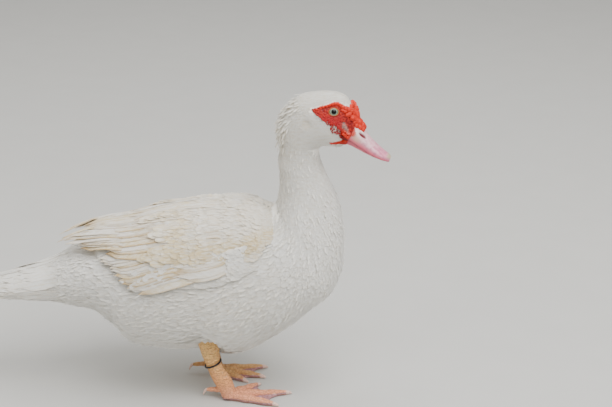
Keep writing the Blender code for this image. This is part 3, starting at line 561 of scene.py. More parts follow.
@dataclass(frozen=True)
class LegFinish:
    """Scaly skin: ochre above, pink-orange below, with small plates parted by darker lines, painted shade in
    the shank's wrinkles and an olive painted shade on the far leg.
    """

    ochre: str = "F4C67C"
    orange: str = "F5AE6E"
    pink: str = "F2A47E"
    web: str = "B0858C"
    # Painted shade: the olive of the far leg, on the bird's left.
    olive: str = "CBA964"
    # Painted shade: the dark brown of the shank's wrinkles.
    crease: str = "A2683A"
    gap: str = "8A5230"
    flush: str = "D98A66"
    fleck: str = "F0CDAE"
    scute_mm: float = 4.0
    fold_mm: float = 4.2

    def build(self, name: str) -> Material:
        """Makes the material of this name."""
        graph = Graph(name)
        _, y, z = graph.add("SeparateXYZ", graph.place).node.outputs
        web = graph.add("Attribute", attribute_name="web").node.outputs["Fac"]
        squashed = graph.add("VectorMath", graph.place, (1.0, 0.7, 1.7), operation="MULTIPLY")
        plates = graph.add("TexVoronoi", squashed, per_mm(self.scute_mm), feature="DISTANCE_TO_EDGE")
        wobble, flush, fleck = (
            graph.add("TexNoise", graph.place, per_mm(size_mm), detail)
            for size_mm, detail in ((9.0, 3), (7.0, 4), (3.0, 4))
        )
        shift = graph.add("Math", wobble, 3.5, operation="MULTIPLY")
        turns = graph.add("Math", z, per_mm(self.fold_mm), shift, operation="MULTIPLY_ADD")
        angle = graph.add("Math", turns, 2 * math.pi, operation="MULTIPLY")
        fold = graph.add("MapRange", graph.add("Math", angle, operation="SINE"), -1.0, -0.4, 1.0, 0.0)
        wrinkle = graph.add("Math", fold, graph.add("MapRange", z, 0.012, 0.022), operation="MULTIPLY")
        base = graph.paint(
            self.ochre,
            (self.orange, graph.add("MapRange", z, 0.062, 0.030)),
            (self.pink, graph.add("MapRange", z, 0.030, 0.008)),
            # The far leg, on the bird's left, is turned olive: painted shade.
            (self.olive, graph.add("MapRange", y, -0.004, 0.006, 0.0, 0.7)),
            (self.web, web),
            # Painted shade in the shank's wrinkles, where the relief also dips.
            (self.crease, wrinkle, 0.34),
            (self.gap, graph.add("MapRange", plates, 0.0, 0.12, 0.55, 0.0)),
            (self.flush, graph.add("MapRange", flush, 0.45, 0.7, 0.0, 0.30)),
            (self.fleck, graph.add("MapRange", fleck, 0.62, 0.72, 0.0, 0.5)),
        )
        seam = graph.add("MapRange", plates, 0.0, 0.20)
        graph.bump(graph.add("Math", seam, wrinkle, operation="SUBTRACT"), 0.9, 0.6)
        return graph.finish(base, Roughness=0.52, Specular_IOR_Level=0.4)


@dataclass(frozen=True)
class EyeFinish:
    """A wet eye: black pupil, pale grey-green iris with a dark rim, a clear hard gloss."""

    iris: str = "5F6C61"
    fleck: str = "9AA591"
    pupil: str = "050505"
    rim: str = "2A2420"

    def build(self, name: str) -> Material:
        """Makes the material of this name."""
        graph = Graph(name)
        reach = graph.add("Attribute", attribute_name="reach").node.outputs["Fac"]
        flecks = graph.add("TexNoise", graph.place, per_mm(0.7), 4)
        base = graph.paint(
            self.iris,
            (self.fleck, graph.add("MapRange", flecks, 0.35, 0.65)),
            (self.pupil, graph.add("MapRange", reach, 0.53, 0.61, 1.0, 0.0)),
            (self.rim, graph.add("MapRange", reach, 0.78, 0.92)),
        )
        shine = {"Specular_IOR_Level": 0.2, "Coat_Weight": 0.10, "Coat_Roughness": 0.02}
        return graph.finish(base, Roughness=0.22, **shine)


@dataclass(frozen=True)
class MottledFinish:
    """An even surface on which a second colour shows in soft spots, with a fine relief where asked."""

    base: str
    spots: str
    size_mm: float
    detail: float
    low: float
    high: float
    share: float
    roughness: float
    grain_mm: float = 1.0
    grain_detail: float = 2
    relief: float = 0.0
    relief_mm: float = 0.0
    stretch: tuple[float, float, float] = (1.0, 1.0, 1.0)

    def build(self, name: str) -> Material:
        """Makes the material of this name."""
        graph = Graph(name)
        place = graph.add("VectorMath", graph.place, self.stretch, operation="MULTIPLY")
        spots = graph.add("TexNoise", place, per_mm(self.size_mm), self.detail)
        covered = graph.add("MapRange", spots, self.low, self.high, 0.0, self.share)
        base = graph.paint(self.base, (self.spots, covered))
        if self.relief:
            grain = graph.add("TexNoise", place, per_mm(self.grain_mm), self.grain_detail)
            graph.bump(grain, self.relief, self.relief_mm)
        return graph.finish(base, Roughness=self.roughness)


# Claw horn, grown and worn by the ground: pinkish white and smooth, with darker clouds.
CLAW_HORN = MottledFinish("E6C9BC", "CFA391", 1.5, 3, 0.4, 0.7, 1.0, 0.4, 0.8, 2, 0.2, 0.1)
# Moulded black plastic: dark, with a soft shine and fine scuffs round the ring.
BAND_PLASTIC = MottledFinish(
    "101114", "34363A", 1.2, 5, 0.55, 0.75, 0.5, 0.38, 1.2, 5, 0.15, 0.05, (1.0, 1.0, 4.0)
)
# A plain painted studio floor: pale, matt and even.
STUDIO_FLOOR = MottledFinish("BFBEBA", "C4C3BF", 60.0, 2, 0.0, 1.0, 1.0, 0.9)


@dataclass
class Batch:
    """Collects many small forms into one mesh with their attributes."""

    points: list[Array] = field(default_factory=list)
    faces: list[Array] = field(default_factory=list)
    local: list[Array] = field(default_factory=list)
    root: list[Array] = field(default_factory=list)
    tint: list[Array] = field(default_factory=list)
    facing: list[Array] = field(default_factory=list)
    count: int = 0

    def add(self, form: tuple[Array, ...], facing: Array, root: Array, tint: float) -> None:
        """Adds one form.

        Args:
            form: Its (N, 3) points, its (M, 4) corner numbers and each point's (N, 2) place on it, 0 to 1.
            facing: (N, 3) normals of the skin under it.
            root: Its root on the unwrapped skin.
            tint: How stained it is, 0 to 1.
        """
        points, faces, local = form
        self.points.append(points)
        self.facing.append(facing)
        self.faces.append(faces + self.count)
        self.local.append(local)
        self.root.append(np.tile(root, (len(points), 1)))
        self.tint.append(np.full(len(points), tint))
        self.count += len(points)

    def build(self, name: str, material: Material) -> Piece:
        """Joins all the forms into one object."""
        piece = mesh_piece(name, np.concatenate(self.points), np.concatenate(self.faces), material)
        local, root = np.concatenate(self.local), np.concatenate(self.root)
        tint, facing = np.concatenate(self.tint), np.concatenate(self.facing)
        write_marks(piece.data, local_uv=local, tint=tint, skin_normal=facing)
        write_bake_map(piece.data, root, local)
        return piece


def write_marks(mesh: bpy.types.Mesh, **marks: Array | float) -> None:
    """Stores each keyword's numbers or vectors on a mesh's points.

    Args:
        mesh: The mesh.
        **marks: One number for all points, a number for each, or rows of two or three numbers.
    """
    for name, values in marks.items():
        values = np.asarray(values, np.float32)
        if values.ndim == 0:
            values = np.full(len(mesh.vertices), values)
        if values.ndim == 2 and values.shape[1] == 2:
            values = np.pad(values, ((0, 0), (0, 1)))
        kind, slot = ("FLOAT_VECTOR", "vector") if values.ndim == 2 else ("FLOAT", "value")
        mesh.attributes.new(name, kind, "POINT").data.foreach_set(slot, values.ravel())


def write_bake_map(mesh: bpy.types.Mesh, root: Array, local: Array, patch: float = 0.003) -> None:
    """Writes the map OFBake: each tuft is a small patch at its root's place on the unwrapped skin."""
    corners = np.empty(len(mesh.loops), np.int32)
    mesh.loops.foreach_get("vertex_index", corners)
    spots = root[:, :2] + patch * (local[:, :2] - 0.5)
    mesh.uv_layers.new(name="OFBake").data.foreach_set("uv", spots[corners].astype(np.float32).ravel())


def mesh_piece(
    name: str, points: Array, faces: Array | list, material: Material, smooth: bool = True
) -> Piece:
    """Makes an object at the origin from points and faces."""
    mesh = bpy.data.meshes.new(name)
    mesh.from_pydata(np.asarray(points).tolist(), [], faces if isinstance(faces, list) else faces.tolist())
    mesh.validate()
    if smooth:
        mesh.shade_smooth()
        mesh.set_sharp_from_angle(angle=SHARP_RIM)
    mesh.materials.append(material)
    piece = bpy.data.objects.new(name, mesh)
    bpy.context.scene.collection.objects.link(piece)
    return piece


def full_turn(count: int) -> Array:
    """Angles spread evenly once round."""
    return np.linspace(0, 2 * math.pi, count, endpoint=False)


def grid_of(first: Array, second: Array) -> tuple[Array, ...]:
    """The two values of each point of a grid, row by row."""
    return tuple(grid.ravel() for grid in np.meshgrid(first, second, indexing="ij"))


def ball_of(polar: Array, around: int) -> tuple[Array, ...]:
    """Polar angles, turns and unit points of a ball's grid, row by row from its pole."""
    a, b = grid_of(polar, full_turn(around))
    return a, b, np.stack([np.sin(a) * np.cos(b), np.sin(a) * np.sin(b), np.cos(a)], axis=1)


def grid_faces(rows: int, columns: int, around: bool = False) -> Array:
    """Quads of a grid of rows by columns points, closed round its columns where asked."""
    i, j = np.meshgrid(np.arange(rows - 1), np.arange(columns if around else columns - 1), indexing="ij")
    k = (j + 1) % columns
    quads = [i * columns + j, i * columns + k, (i + 1) * columns + k, (i + 1) * columns + j]
    return np.stack([q.ravel() for q in quads], axis=1)


def sheet_faces(rows: int, columns: int) -> Array:
    """Quads of a thin closed sheet: a grid, the same grid under it, and the rims between them."""
    size = rows * columns
    top = grid_faces(rows, columns)
    quads = [top, top[:, ::-1] + size]
    down, over = np.arange(rows - 1) * columns, np.arange(columns - 1)
    rims = ((down, columns), (down + columns - 1, columns), (over, 1), (over + size - columns, 1))
    for line, step in rims:
        quads.append(np.stack([line, line + step, line + step + size, line + size], axis=1))
    return np.concatenate(quads)


def tube_faces(rows: int, columns: int, mirrored: bool = False) -> list[tuple[int, ...]]:
    """Faces of a tube with closed ends, turned inside out where its points run the other way round."""
    first, last = range(columns), range((rows - 1) * columns, rows * columns)
    ends = (first, last[::-1]) if mirrored else (first[::-1], last)
    return [tuple(face) for face in (*grid_faces(rows, columns, True).tolist(), *ends)]


@dataclass
class Forms:
    """Closed forms that are gathered into one mesh."""

    points: list[Array] = field(default_factory=list)
    faces: list[tuple[int, ...]] = field(default_factory=list)
    count: int = 0

    def add(self, points: Array, faces: list | Array) -> None:
        """Adds a form, whose faces count its points from 0."""
        self.points.append(points)
        self.faces += [tuple(corner + self.count for corner in face) for face in faces]
        self.count += len(points)

    def build(self, name: str, material: Material) -> Piece:
        """Makes one object of all the forms."""
        return mesh_piece(name, np.concatenate(self.points), self.faces, material)


def domes(flat: Array, middles: Array, radii: Array, rise: float, width: float = 1.0) -> Array:
    """Works out the height of round lumps over a surface.

    Args:
        flat: The surface's (N, 3) points.
        middles: The lumps' middles.
        radii: Their radii, in metres.
        rise: Their height as a share of their radius.
        width: Their reach as a share of their radius.

    Returns:
        The height at each point, in metres.
    """
    height = np.zeros(len(flat))
    for middle, radius in zip(middles, radii):
        gap = np.linalg.norm(flat - middle, axis=1) / (radius * width)
        height = np.maximum(height, rise * radius * np.sqrt(np.clip(1 - gap**2, 0, None)))
    return height


def evaluated_copy(piece: Piece, name: str) -> Piece:
    """Applies an object's modifiers into a new object and removes the first."""
    graph = bpy.context.evaluated_depsgraph_get()
    mesh = bpy.data.meshes.new_from_object(
        piece.evaluated_get(graph), preserve_all_data_layers=True, depsgraph=graph
    )
    bpy.data.objects.remove(piece, do_unlink=True)
    mesh.name = name
    result = bpy.data.objects.new(name, mesh)
    bpy.context.scene.collection.objects.link(result)
    return result


def fused(piece: Piece, name: str, voxel: float, rounds: int) -> tuple[Piece, Array]:
    """Fuses an object's closed forms into one smooth skin.

    Args:
        piece: The rough object, which is used up.
        name: The new object's name.
        voxel: The size of the finest form that stays, in metres.
        rounds: How often it is smoothed.

    Returns:
        The new object, and its points as an (N, 3) array.
    """
    fuse = piece.modifiers.new("fuse", "REMESH")
    fuse.mode, fuse.voxel_size = "VOXEL", voxel
    soften = piece.modifiers.new("soften", "SMOOTH")
    soften.factor, soften.iterations = 0.5, rounds
    result = evaluated_copy(piece, name)
    result.data.shade_smooth()
    flat = np.empty(len(result.data.vertices) * 3, np.float32)
    result.data.vertices.foreach_get("co", flat)
    return result, flat.reshape(-1, 3).astype(float)


@dataclass(frozen=True)
class WingColumn:
    """One cross line of the folded wing's pad, from its top edge to its bottom edge.

    The top edge stands off the body by stand, which grows towards the free tip.
    """

    s: float
    top: float
    bottom: float
    out: float
    stand: float


@dataclass(frozen=True)
class Tier:
    """A tier of long feathers, from the lowest to the highest. Places are (ring number, degrees)."""

    count: int
    root_low: tuple[float, float]
    root_high: tuple[float, float]
    tip_low: tuple[float, float]
    tip_high: tuple[float, float]
    bow: float
    half_width: float
    root_rise: float
    tip_rise: float
    tilt: float
    tint: float
    lowest_tint: float


@dataclass(frozen=True)
class WingShape:
    """The folded wing: the pad under its feathers, and the tiers on it."""

    columns: tuple[WingColumn, ...] = (
        WingColumn(2.00, 10, 34, 0.0045, 0.0135),
        WingColumn(2.70, 8, 46, 0.0040, 0.0110),
        WingColumn(3.40, 7, 60, 0.0036, 0.0085),
        WingColumn(4.30, 7, 69, 0.0036, 0.0055),
        WingColumn(5.50, 7, 65, 0.0042, 0.0025),
        WingColumn(7.00, 7, 63, 0.0048, 0.0005),
        WingColumn(8.50, 9, 60, 0.0048, 0.0000),
        WingColumn(9.20, 15, 56, 0.0035, 0.0000),
        WingColumn(9.60, 32, 48, 0.0010, 0.0000),
    )
    rim: float = 0.3
    least: float = 0.0026
    tiers: tuple[Tier, ...] = (
        Tier(8, (5.2, 41), (5.0, 24), (1.45, 29), (0.85, 13), 2, 0.0064, -0.0012, 0.0048, 4, 0.60, 1.00),
        Tier(13, (7.2, 61), (6.8, 42), (4.15, 80), (2.15, 48), -2, 0.0076, -0.0012, 0.0024, 3, 0.52, 0.75),
        Tier(11, (7.4, 43), (7.4, 4), (2.60, 43), (1.75, 3), 3, 0.0090, -0.0012, 0.0034, 3, 0.60, 1.00),
        Tier(14, (8.0, 62), (7.7, 34), (5.40, 71), (4.20, 42), 0, 0.0066, -0.0014, 0.0036, 3, 0.46, 0.55),
        Tier(13, (8.4, 36), (8.4, 1), (4.60, 38), (3.70, 3), 1, 0.0084, -0.0014, 0.0042, 3, 0.44, 0.60),
        Tier(4, (3.2, 24), (3.2, 10), (0.74, 15), (1.05, 7), 0, 0.0022, -0.0012, 0.0046, 4, 0.80, 0.30),
    )

    def outline(self, s: Array) -> tuple[Array, ...]:
        """The top angle, bottom angle, thickness and stand of the pad at these ring numbers."""
        known = [column.s for column in self.columns]
        keys = ("top", "bottom", "out", "stand")
        return tuple(np.interp(s, known, [getattr(column, key) for column in self.columns]) for key in keys)

    def lift(self, s: Array, degrees: Array) -> Array:
        """How far a feather's line stands off the body, over the pad and past its edges."""
        top, bottom, out, stand = self.outline(s)
        share = ramp(np.abs(degrees), top, bottom - top)
        bulge = self.rim + (1 - self.rim) * np.sqrt(np.maximum(np.sin(math.pi * share), 0))
        return np.maximum(out * bulge + stand * (1 - share), self.least)

    def pad(self, s: Array, degrees: Array) -> Array:
        """How far the skin swells under the wing and over the back between the wings."""
        bottom = self.outline(s)[1]
        ends = ramp(s, 1.9, 0.9) * np.clip((self.columns[-1].s + 0.2 - s) / 1.6, 0, 1)
        edge = np.sqrt(np.clip((bottom - np.abs(degrees)) / 7, 0, 1))
        return self.lift(s, degrees) * swell(ends) * edge

    def covered(self, s: Array, degrees: Array) -> Array:
        """Whether long feathers hide the skin there, so that it needs no small ones."""
        top, bottom, _, _ = self.outline(s)
        turned = np.abs(degrees)
        return (turned > top + 4) & (turned < bottom - 4) & (s > 2.9) & (s < 8.2)


WING = WingShape()


@dataclass
class LongFeather:
    """Makes one long feather: a thin curved vane with a shaft, closed, with a ragged rim."""

    stations = 11
    columns = 7
    thickness = 0.00026
    camber = 0.055
    shaft_rise = 0.00018
    sweep = 0.035
    profile = ((0.0, 0.15, 0.45, 0.75, 0.90, 0.97, 1.0), (0.40, 0.75, 1.0, 0.96, 0.78, 0.48, 0.14))

    rng: np.random.Generator

    def add(
        self, batch: Batch, places: Array, ups: Array, width: float, root: Array, tint: float, rough: float
    ) -> None:
        """Adds a feather along places to a batch.

        Args:
            batch: Where it goes.
            places: (stations, 3) points of the shaft.
            ups: (stations, 3) outward directions.
            width: Half the vane's greatest width.
            root: The root's place on the unwrapped skin.
            tint: How stained it is.
            rough: How uneven its rim is, as a share of its width.
        """
        rows, columns = len(places), self.columns
        way = unit(np.gradient(places, axis=0))
        across = unit(np.cross(way, ups))
        up = np.cross(across, way)
        along = np.linspace(0, 1, rows)
        half = width * np.interp(along, *self.profile)
        spots = np.linspace(-1, 1, columns)
        rims = 1 + rough * self.rng.standard_normal((rows, 2))
        reach = np.where(spots[None, :] < 0, rims[:, :1], rims[:, 1:]) * spots[None, :]
        rise = self.camber * (1 - spots**2)
        rise[columns // 2] += self.shaft_rise / width
        top = places[:, None, :] + across[:, None, :] * (half[:, None] * reach)[:, :, None]
        top = top + up[:, None, :] * (half[:, None] * rise[None, :])[:, :, None]
        backs = np.linalg.norm(places[-1] - places[0]) * self.sweep * np.interp(along, [0.6, 1], [0, 1])
        top = top - way[:, None, :] * (backs[:, None] * spots[None, :] ** 2)[:, :, None]
        under = top - up[:, None, :] * self.thickness
        local = np.stack(np.meshgrid((spots + 1) / 2, along), axis=-1).reshape(-1, 2)
        points = np.concatenate([top.reshape(-1, 3), under.reshape(-1, 3)])
        facing = np.tile(np.repeat(ups, columns, axis=0), (2, 1))
        batch.add((points, sheet_faces(rows, columns), np.concatenate([local, local])), facing, root, tint)


@dataclass(frozen=True)
class FeatherForm:
    """A small body feather of unit length, which Geometry Nodes sets on the skin."""

    half_width: float
    tip: float
    bend: float
    fork: float
    crown: float = 0.018

    def build(self, name: str) -> Piece:
        """Makes the closed form: a thin vane with a raised middle and a flat underside."""
        along = np.array([0.0, 0.42, 0.80, 1.0])
        width = self.half_width * np.array([0.45, 1.0, 0.86, self.tip])
        points, local = [], []
        for t, half in zip(along, width):
            height = -0.030 + 0.060 * t - self.bend * t * t
            back = self.fork if t == 1.0 else 0.0
            for across, rise in ((-1, 0.0), (0, self.crown), (1, 0.0)):
                points.append((across * half, t - (0.0 if across else back), height + rise))
                local.append(((across + 1) / 2, t))
        faces = []
        for i in range(len(along) - 1):
            a, b = 3 * i, 3 * i + 3
            faces += [(a, a + 1, b + 1, b), (a + 1, a + 2, b + 2, b + 1), (a + 2, a, b, b + 2)]
        faces += [(0, 2, 1), (len(points) - 3, len(points) - 2, len(points) - 1)]
        mesh = bpy.data.meshes.new(name)
        mesh.from_pydata(points, [], faces)
        mesh.shade_smooth()
        mesh.set_sharp_from_angle(angle=SHARP_RIM)
        write_marks(mesh, local_uv=local)
        return bpy.data.objects.new(name, mesh)


BROAD = (
    FeatherForm(0.31, 0.34, 0.030, 0.00),
    FeatherForm(0.28, 0.24, 0.036, 0.05),
    FeatherForm(0.25, 0.16, 0.024, 0.00),
    FeatherForm(0.33, 0.40, 0.040, 0.10),
)
NARROW = (
    FeatherForm(0.21, 0.30, 0.030, 0.00),
    FeatherForm(0.18, 0.22, 0.036, 0.04),
    FeatherForm(0.23, 0.34, 0.024, 0.00),
)
SLENDER = (
    FeatherForm(0.10, 0.06, 0.05, 0.0),
    FeatherForm(0.08, 0.05, -0.03, 0.0),
    FeatherForm(0.12, 0.04, 0.0, 0.0),
)


class Scatter:
    """A Geometry Nodes tree that sets small feathers on a skin along its lie."""

    inputs = (
        ("Feathers", "NodeSocketCollection"),
        ("Distance", "NodeSocketFloat"),
        ("Density", "NodeSocketFloat"),
        ("Seed", "NodeSocketInt"),
        ("Length", "NodeSocketFloat"),
        ("Pitch", "NodeSocketFloat"),
        ("Jitter", "NodeSocketFloat"),
        ("Material", "NodeSocketMaterial"),
    )
    wobble = (0.25, 0.8, 1.0)
    lengths = (0.78, 1.15)

    def __init__(self, forms: tuple[FeatherForm, ...]) -> None:
        """Builds the forms and wires the tree."""
        self.forms = bpy.data.collections.new("feather_forms")
        self.count = len(forms)
        for i, form in enumerate(forms):
            self.forms.objects.link(form.build(f"feather_form_{i}"))
        self.tree = bpy.data.node_groups.new("feather_scatter", "GeometryNodeTree")
        self.sockets: dict[str, str] = {}
        self._wire()

    def _wire(self) -> None:
        """Builds the tree: spread roots, turn each feather to the lie, size it and realise it."""
        face = self.tree.interface
        face.new_socket("Geometry", in_out="INPUT", socket_type="NodeSocketGeometry")
        for name, kind in self.inputs:
            self.sockets[name] = face.new_socket(name, in_out="INPUT", socket_type=kind).identifier
        face.new_socket("Geometry", in_out="OUTPUT", socket_type="NodeSocketGeometry")
        add = partial(add_node, self.tree)
        group = add("NodeGroupInput").node.outputs
        cover, lie, size = (
            add("GeometryNodeInputNamedAttribute", name, data_type=kind)
            for name, kind in (("cover", "FLOAT"), ("lie", "FLOAT_VECTOR"), ("size", "FLOAT"))
        )
        roots = add(
            "GeometryNodeDistributePointsOnFaces",
            group["Geometry"],
            distribute_method="POISSON",
            Distance_Min=group["Distance"],
            Density_Max=group["Density"],
            Density_Factor=cover,
            Seed=group["Seed"],
        )
        normal = roots.node.outputs["Normal"]
        upright = add("FunctionNodeAlignRotationToVector", axis="Z", Vector=normal)
        laid = add("FunctionNodeAlignRotationToVector", upright, axis="Y", pivot_axis="Z", Vector=lie)
        wobble = add("FunctionNodeRandomValue", (-1, -1, -1), (1, 1, 1), data_type="FLOAT_VECTOR")
        limits = add("ShaderNodeVectorMath", self.wobble, operation="SCALE", Scale=group["Jitter"])
        wobbled = add("ShaderNodeVectorMath", wobble, limits, operation="MULTIPLY")
        pitched = add("ShaderNodeCombineXYZ", group["Pitch"])
        angles = add("ShaderNodeVectorMath", wobbled, pitched, operation="ADD")
        euler = add("FunctionNodeEulerToRotation", angles)
        turned = add("FunctionNodeRotateRotation", laid, euler, rotation_space="LOCAL")
        vary = add("FunctionNodeRandomValue", *self.lengths, data_type="FLOAT", Seed=3)
        scale = add("ShaderNodeMath", vary, size, operation="MULTIPLY")
        length = add("ShaderNodeMath", scale, group["Length"], operation="MULTIPLY")
        pick = add("FunctionNodeRandomValue", 0, self.count - 1, data_type="INT", Seed=5)
        apart = {"Separate_Children": True, "Reset_Children": True}
        forms = add("GeometryNodeCollectionInfo", group["Feathers"], **apart)
        marked = add(
            "GeometryNodeStoreNamedAttribute",
            roots,
            data_type="FLOAT_VECTOR",
            domain="POINT",
            Name="skin_normal",
            Value=normal,
        )
        placed = add(
            "GeometryNodeInstanceOnPoints",
            marked,
            Instance=forms,
            Pick_Instance=True,
            Instance_Index=pick,
            Rotation=turned,
            Scale=length,
        )
        real = add("GeometryNodeRealizeInstances", placed)
        dressed = add("GeometryNodeSetMaterial", real, Material=group["Material"])
        add("NodeGroupOutput", Geometry=dressed)

    def dress(self, skin: Piece, name: str, cover: Array, seed: int, **values: Any) -> Piece:
        """Scatters feathers on a skin and returns them as one object.

        Args:
            skin: The object whose mesh carries lie, size, tint and root_uv.
            name: The new object's name.
            cover: The share of feathers at each point of the skin.
            seed: The scatter's seed.
            **values: Distance, Density, Length, Pitch, Jitter and Material.

        Returns:
            The new object, with its bake map.
        """
        carrier = skin.copy()
        carrier.data = skin.data.copy()
        bpy.context.scene.collection.objects.link(carrier)
        write_marks(carrier.data, cover=cover)
        modifier = carrier.modifiers.new("scatter", "NODES")
        modifier.node_group = self.tree
        modifier[self.sockets["Feathers"]] = self.forms
        modifier[self.sockets["Seed"]] = seed
        for key, value in values.items():
            modifier[self.sockets[key]] = value
        piece = evaluated_copy(carrier, name)
        mesh = piece.data
        columns = {}
        for key in ("root_uv", "local_uv"):
            flat = np.empty(len(mesh.vertices) * 3, np.float32)
            mesh.attributes[key].data.foreach_get("vector", flat)
            columns[key] = flat.reshape(-1, 3)
        while mesh.uv_layers:
            mesh.uv_layers.remove(mesh.uv_layers[0])
        write_bake_map(mesh, columns["root_uv"], columns["local_uv"])
        for key in ("lie", "size", "cover", "root_uv"):
            if key in mesh.attributes:
                mesh.attributes.remove(mesh.attributes[key])
        return piece


@dataclass(frozen=True)
class FaceShape:
    """The bare red skin of one side of the face, as an outline on the head's rings, with its bulbs."""

    s: tuple[float, ...] = (
        24.20, 24.44, 24.80, 25.12, 25.50, 25.80, 26.20, 26.67, 27.16, 27.60, 28.05, 28.40, 29.00,
    )
    top: tuple[float, ...] = (58, 54, 53, 50, 49, 47, 42, 39, 42, 42, 34, 15, 4)
    bottom: tuple[float, ...] = (58, 65, 78, 87, 95, 98, 99, 106, 112, 115, 117, 118, 118)
    bulbs: tuple[tuple[float, float, float], ...] = (
        (24.75, 58, 0.0013), (25.05, 55, 0.0016), (25.34, 54, 0.0017), (25.62, 53, 0.0018),
        (25.90, 51, 0.0019), (26.18, 48, 0.0020), (26.46, 46, 0.0022), (26.76, 45, 0.0023),
        (27.06, 47, 0.0025), (27.38, 49, 0.0027), (27.72, 48, 0.0031), (28.05, 42, 0.0034),
        (28.25, 33, 0.0037), (28.50, 43, 0.0036), (28.18, 51, 0.0031), (27.68, 56, 0.0025),
        (27.32, 57, 0.0020), (27.98, 60, 0.0023), (28.45, 23, 0.0034), (28.62, 34, 0.0032),
        (27.05, 108, 0.0017), (27.45, 109, 0.0020), (27.85, 109, 0.0021), (28.25, 108, 0.0022),
        (28.60, 105, 0.0022), (28.86, 99, 0.0022), (27.95, 101, 0.0015), (28.40, 98, 0.0018),
        (28.68, 92, 0.0018),
    )
    left_bulbs: tuple[tuple[float, float, float], ...] = (
        (28.00, 20, 0.0036), (28.22, 26, 0.0050), (28.45, 24, 0.0052), (28.65, 32, 0.0048),
        (28.05, 36, 0.0044), (28.35, 40, 0.0046),
    )

    def inside(self, s: Array, degrees: Array, margin: float = 0.0) -> Array:
        """Whether a place of the head is bare, with the outline grown by margin degrees."""
        turned = np.abs(degrees)
        over = (s > self.s[0]) & (s <= self.s[-1] + 0.5)
        return over & (turned > np.interp(s, self.s, self.top) - margin) & (
            turned < np.interp(s, self.s, self.bottom) + margin
        )


FACE = FaceShape()
EYE_S = 26.28
EYE_DEG = 65.0
EYEBALL_RADIUS = 0.0064
EYEBALL_DEPTH = 0.0036


def eye_centre(side: Side) -> Vector:
    """The middle of an eyeball, sunk in the head."""
    degrees = EYE_DEG * side.value
    return FLESH.one(EYE_S, degrees) - FLESH.one_normal(EYE_S, degrees) * EYEBALL_DEPTH


class Skin:
    """The one skin under the plumage, from the tail's core to the root of the bill."""

    rings = 300
    sides = 144
    leg_dents = ((0.0455, -0.0540, 0.0130, 0.024), (0.030, 0.0440, 0.0100, 0.020))
    depth_at = (
        (-4.0, 0.0, 10.0, 15.0, 19.0, 22.0, 25.0, 29.0),
        (0.0010, 0.0016, 0.0018, 0.0016, 0.0013, 0.0010, 0.0008, 0.0006),
    )
    size_at = ((-4, 0, 10, 15, 20, 23, 26, 29), (1.1, 1.0, 1.0, 0.8, 0.55, 0.42, 0.30, 0.20))
    sag_at = ((-4, 14, 20, 29), (0.10, 0.25, 0.15, 0.05))

    def __init__(self) -> None:
        """Lays out the ring number and the angle of each point."""
        s = np.linspace(-TAIL_RINGS, LAST_RING, self.rings)
        theta = np.linspace(-math.pi, math.pi, self.sides, endpoint=False)
        self.s, self.theta = grid_of(s, theta)
        self.degrees = np.degrees(self.theta)

    def build(self, material: Material) -> Piece:
        """Makes the skin, with the lie, size, tint and unwrapped place of its feathers."""
        sunk = np.interp(self.s, *self.depth_at) + 0.0012 * self.ear()
        points = FLESH.points(self.s, self.theta, 0.85 * WING.pad(self.s, self.degrees) - sunk)
        for x, y, height, reach in self.leg_dents:
            away = np.hypot(points[:, 0] - x, points[:, 1] - y) / reach
            points[:, 2] += height * np.exp(-(away**2)) * ramp(points[:, 2], 0.112, -0.035)
        piece = mesh_piece("skin", points, tube_faces(self.rings, self.sides, mirrored=True), material)
        grid = FLESH.points(self.s, self.theta)
        ahead = FLESH.points(np.minimum(self.s + 0.05, LAST_RING), self.theta)
        lie = grid - ahead
        sag = np.interp(self.s, *self.sag_at)
        lie /= np.maximum(np.linalg.norm(lie, axis=1, keepdims=True), 1e-9)
        lie[:, 2] -= sag * np.abs(np.sin(self.theta))
        root = FLESH.unwrap(self.s, self.theta)
        middle = np.full_like(root, 0.5)
        write_marks(piece.data, lie=lie, size=self.size(), tint=self.tint(), root_uv=root, local_uv=middle)
        write_bake_map(piece.data, root, middle)
        return piece

    def ear(self) -> Array:
        """How near each point is to an ear, 0 to 1."""
        return bell(self.s, 23.67, 0.42) * bell(np.abs(self.degrees), 81, 9)

    def size(self) -> Array:
        """The share of a region's full feather length at each point: smaller towards the bill and face."""
        share = np.interp(self.s, *self.size_at)
        near_face = FACE.inside(self.s, self.degrees, 10.0)
        return np.where(near_face, share * 0.75, share)

    def tint(self) -> Array:
        """How much cream the plumage gets: stain on the wings and the rear flank, painted shade on the nape
        and round the ears.
        """
        # Painted shade: cream on the nape.
        nape = bell(self.s, 21.5, 4.0) * bell(self.degrees, 0.0, 70.0) * 0.26
        flank = bell(self.s, 7.5, 2.5) * bell(np.abs(self.degrees), 92, 24.0) * 0.16
        tail = np.interp(self.s, [-4, 1], [0.22, 0.05])
        # The ear term is painted shade in the ear's dent.
        return 0.03 + nape + flank + tail + 0.5 * self.ear()

    def cover(self, low: float, high: float) -> Array:
        """The share of feathers between two ring numbers, clear of wings and face."""
        soft = ramp(self.s, low, 0.3) * ramp(self.s, high, -0.3)
        soft = soft * ~WING.covered(self.s, self.degrees)
        cheek = (self.s > 25.4) & (np.abs(self.degrees) > np.interp(self.s, FACE.s, FACE.bottom) - 24)
        return soft * (~FACE.inside(self.s, self.degrees, 1.5) | cheek)


@dataclass(frozen=True)
class ShellShape:
    """Where a hidden surface over the wing lies: ring numbers, and shares of the wing's bottom angle."""

    name: str
    rear: float
    front: float
    upper: float
    lower: float
    rise_upper: float
    rise_lower: float
    swirl: float
    tint: float
    seed: int


COVERTS = ShellShape("wing_coverts", 4.7, 10.8, 0.0, 1.04, 0.0, 0.0, 0.45, 0.78, 60)
FLANK_OVER_WING = ShellShape("flank_over_wing", 4.4, 10.0, 0.86, 1.18, 0.0032, -0.0010, 0.10, 0.14, 70)


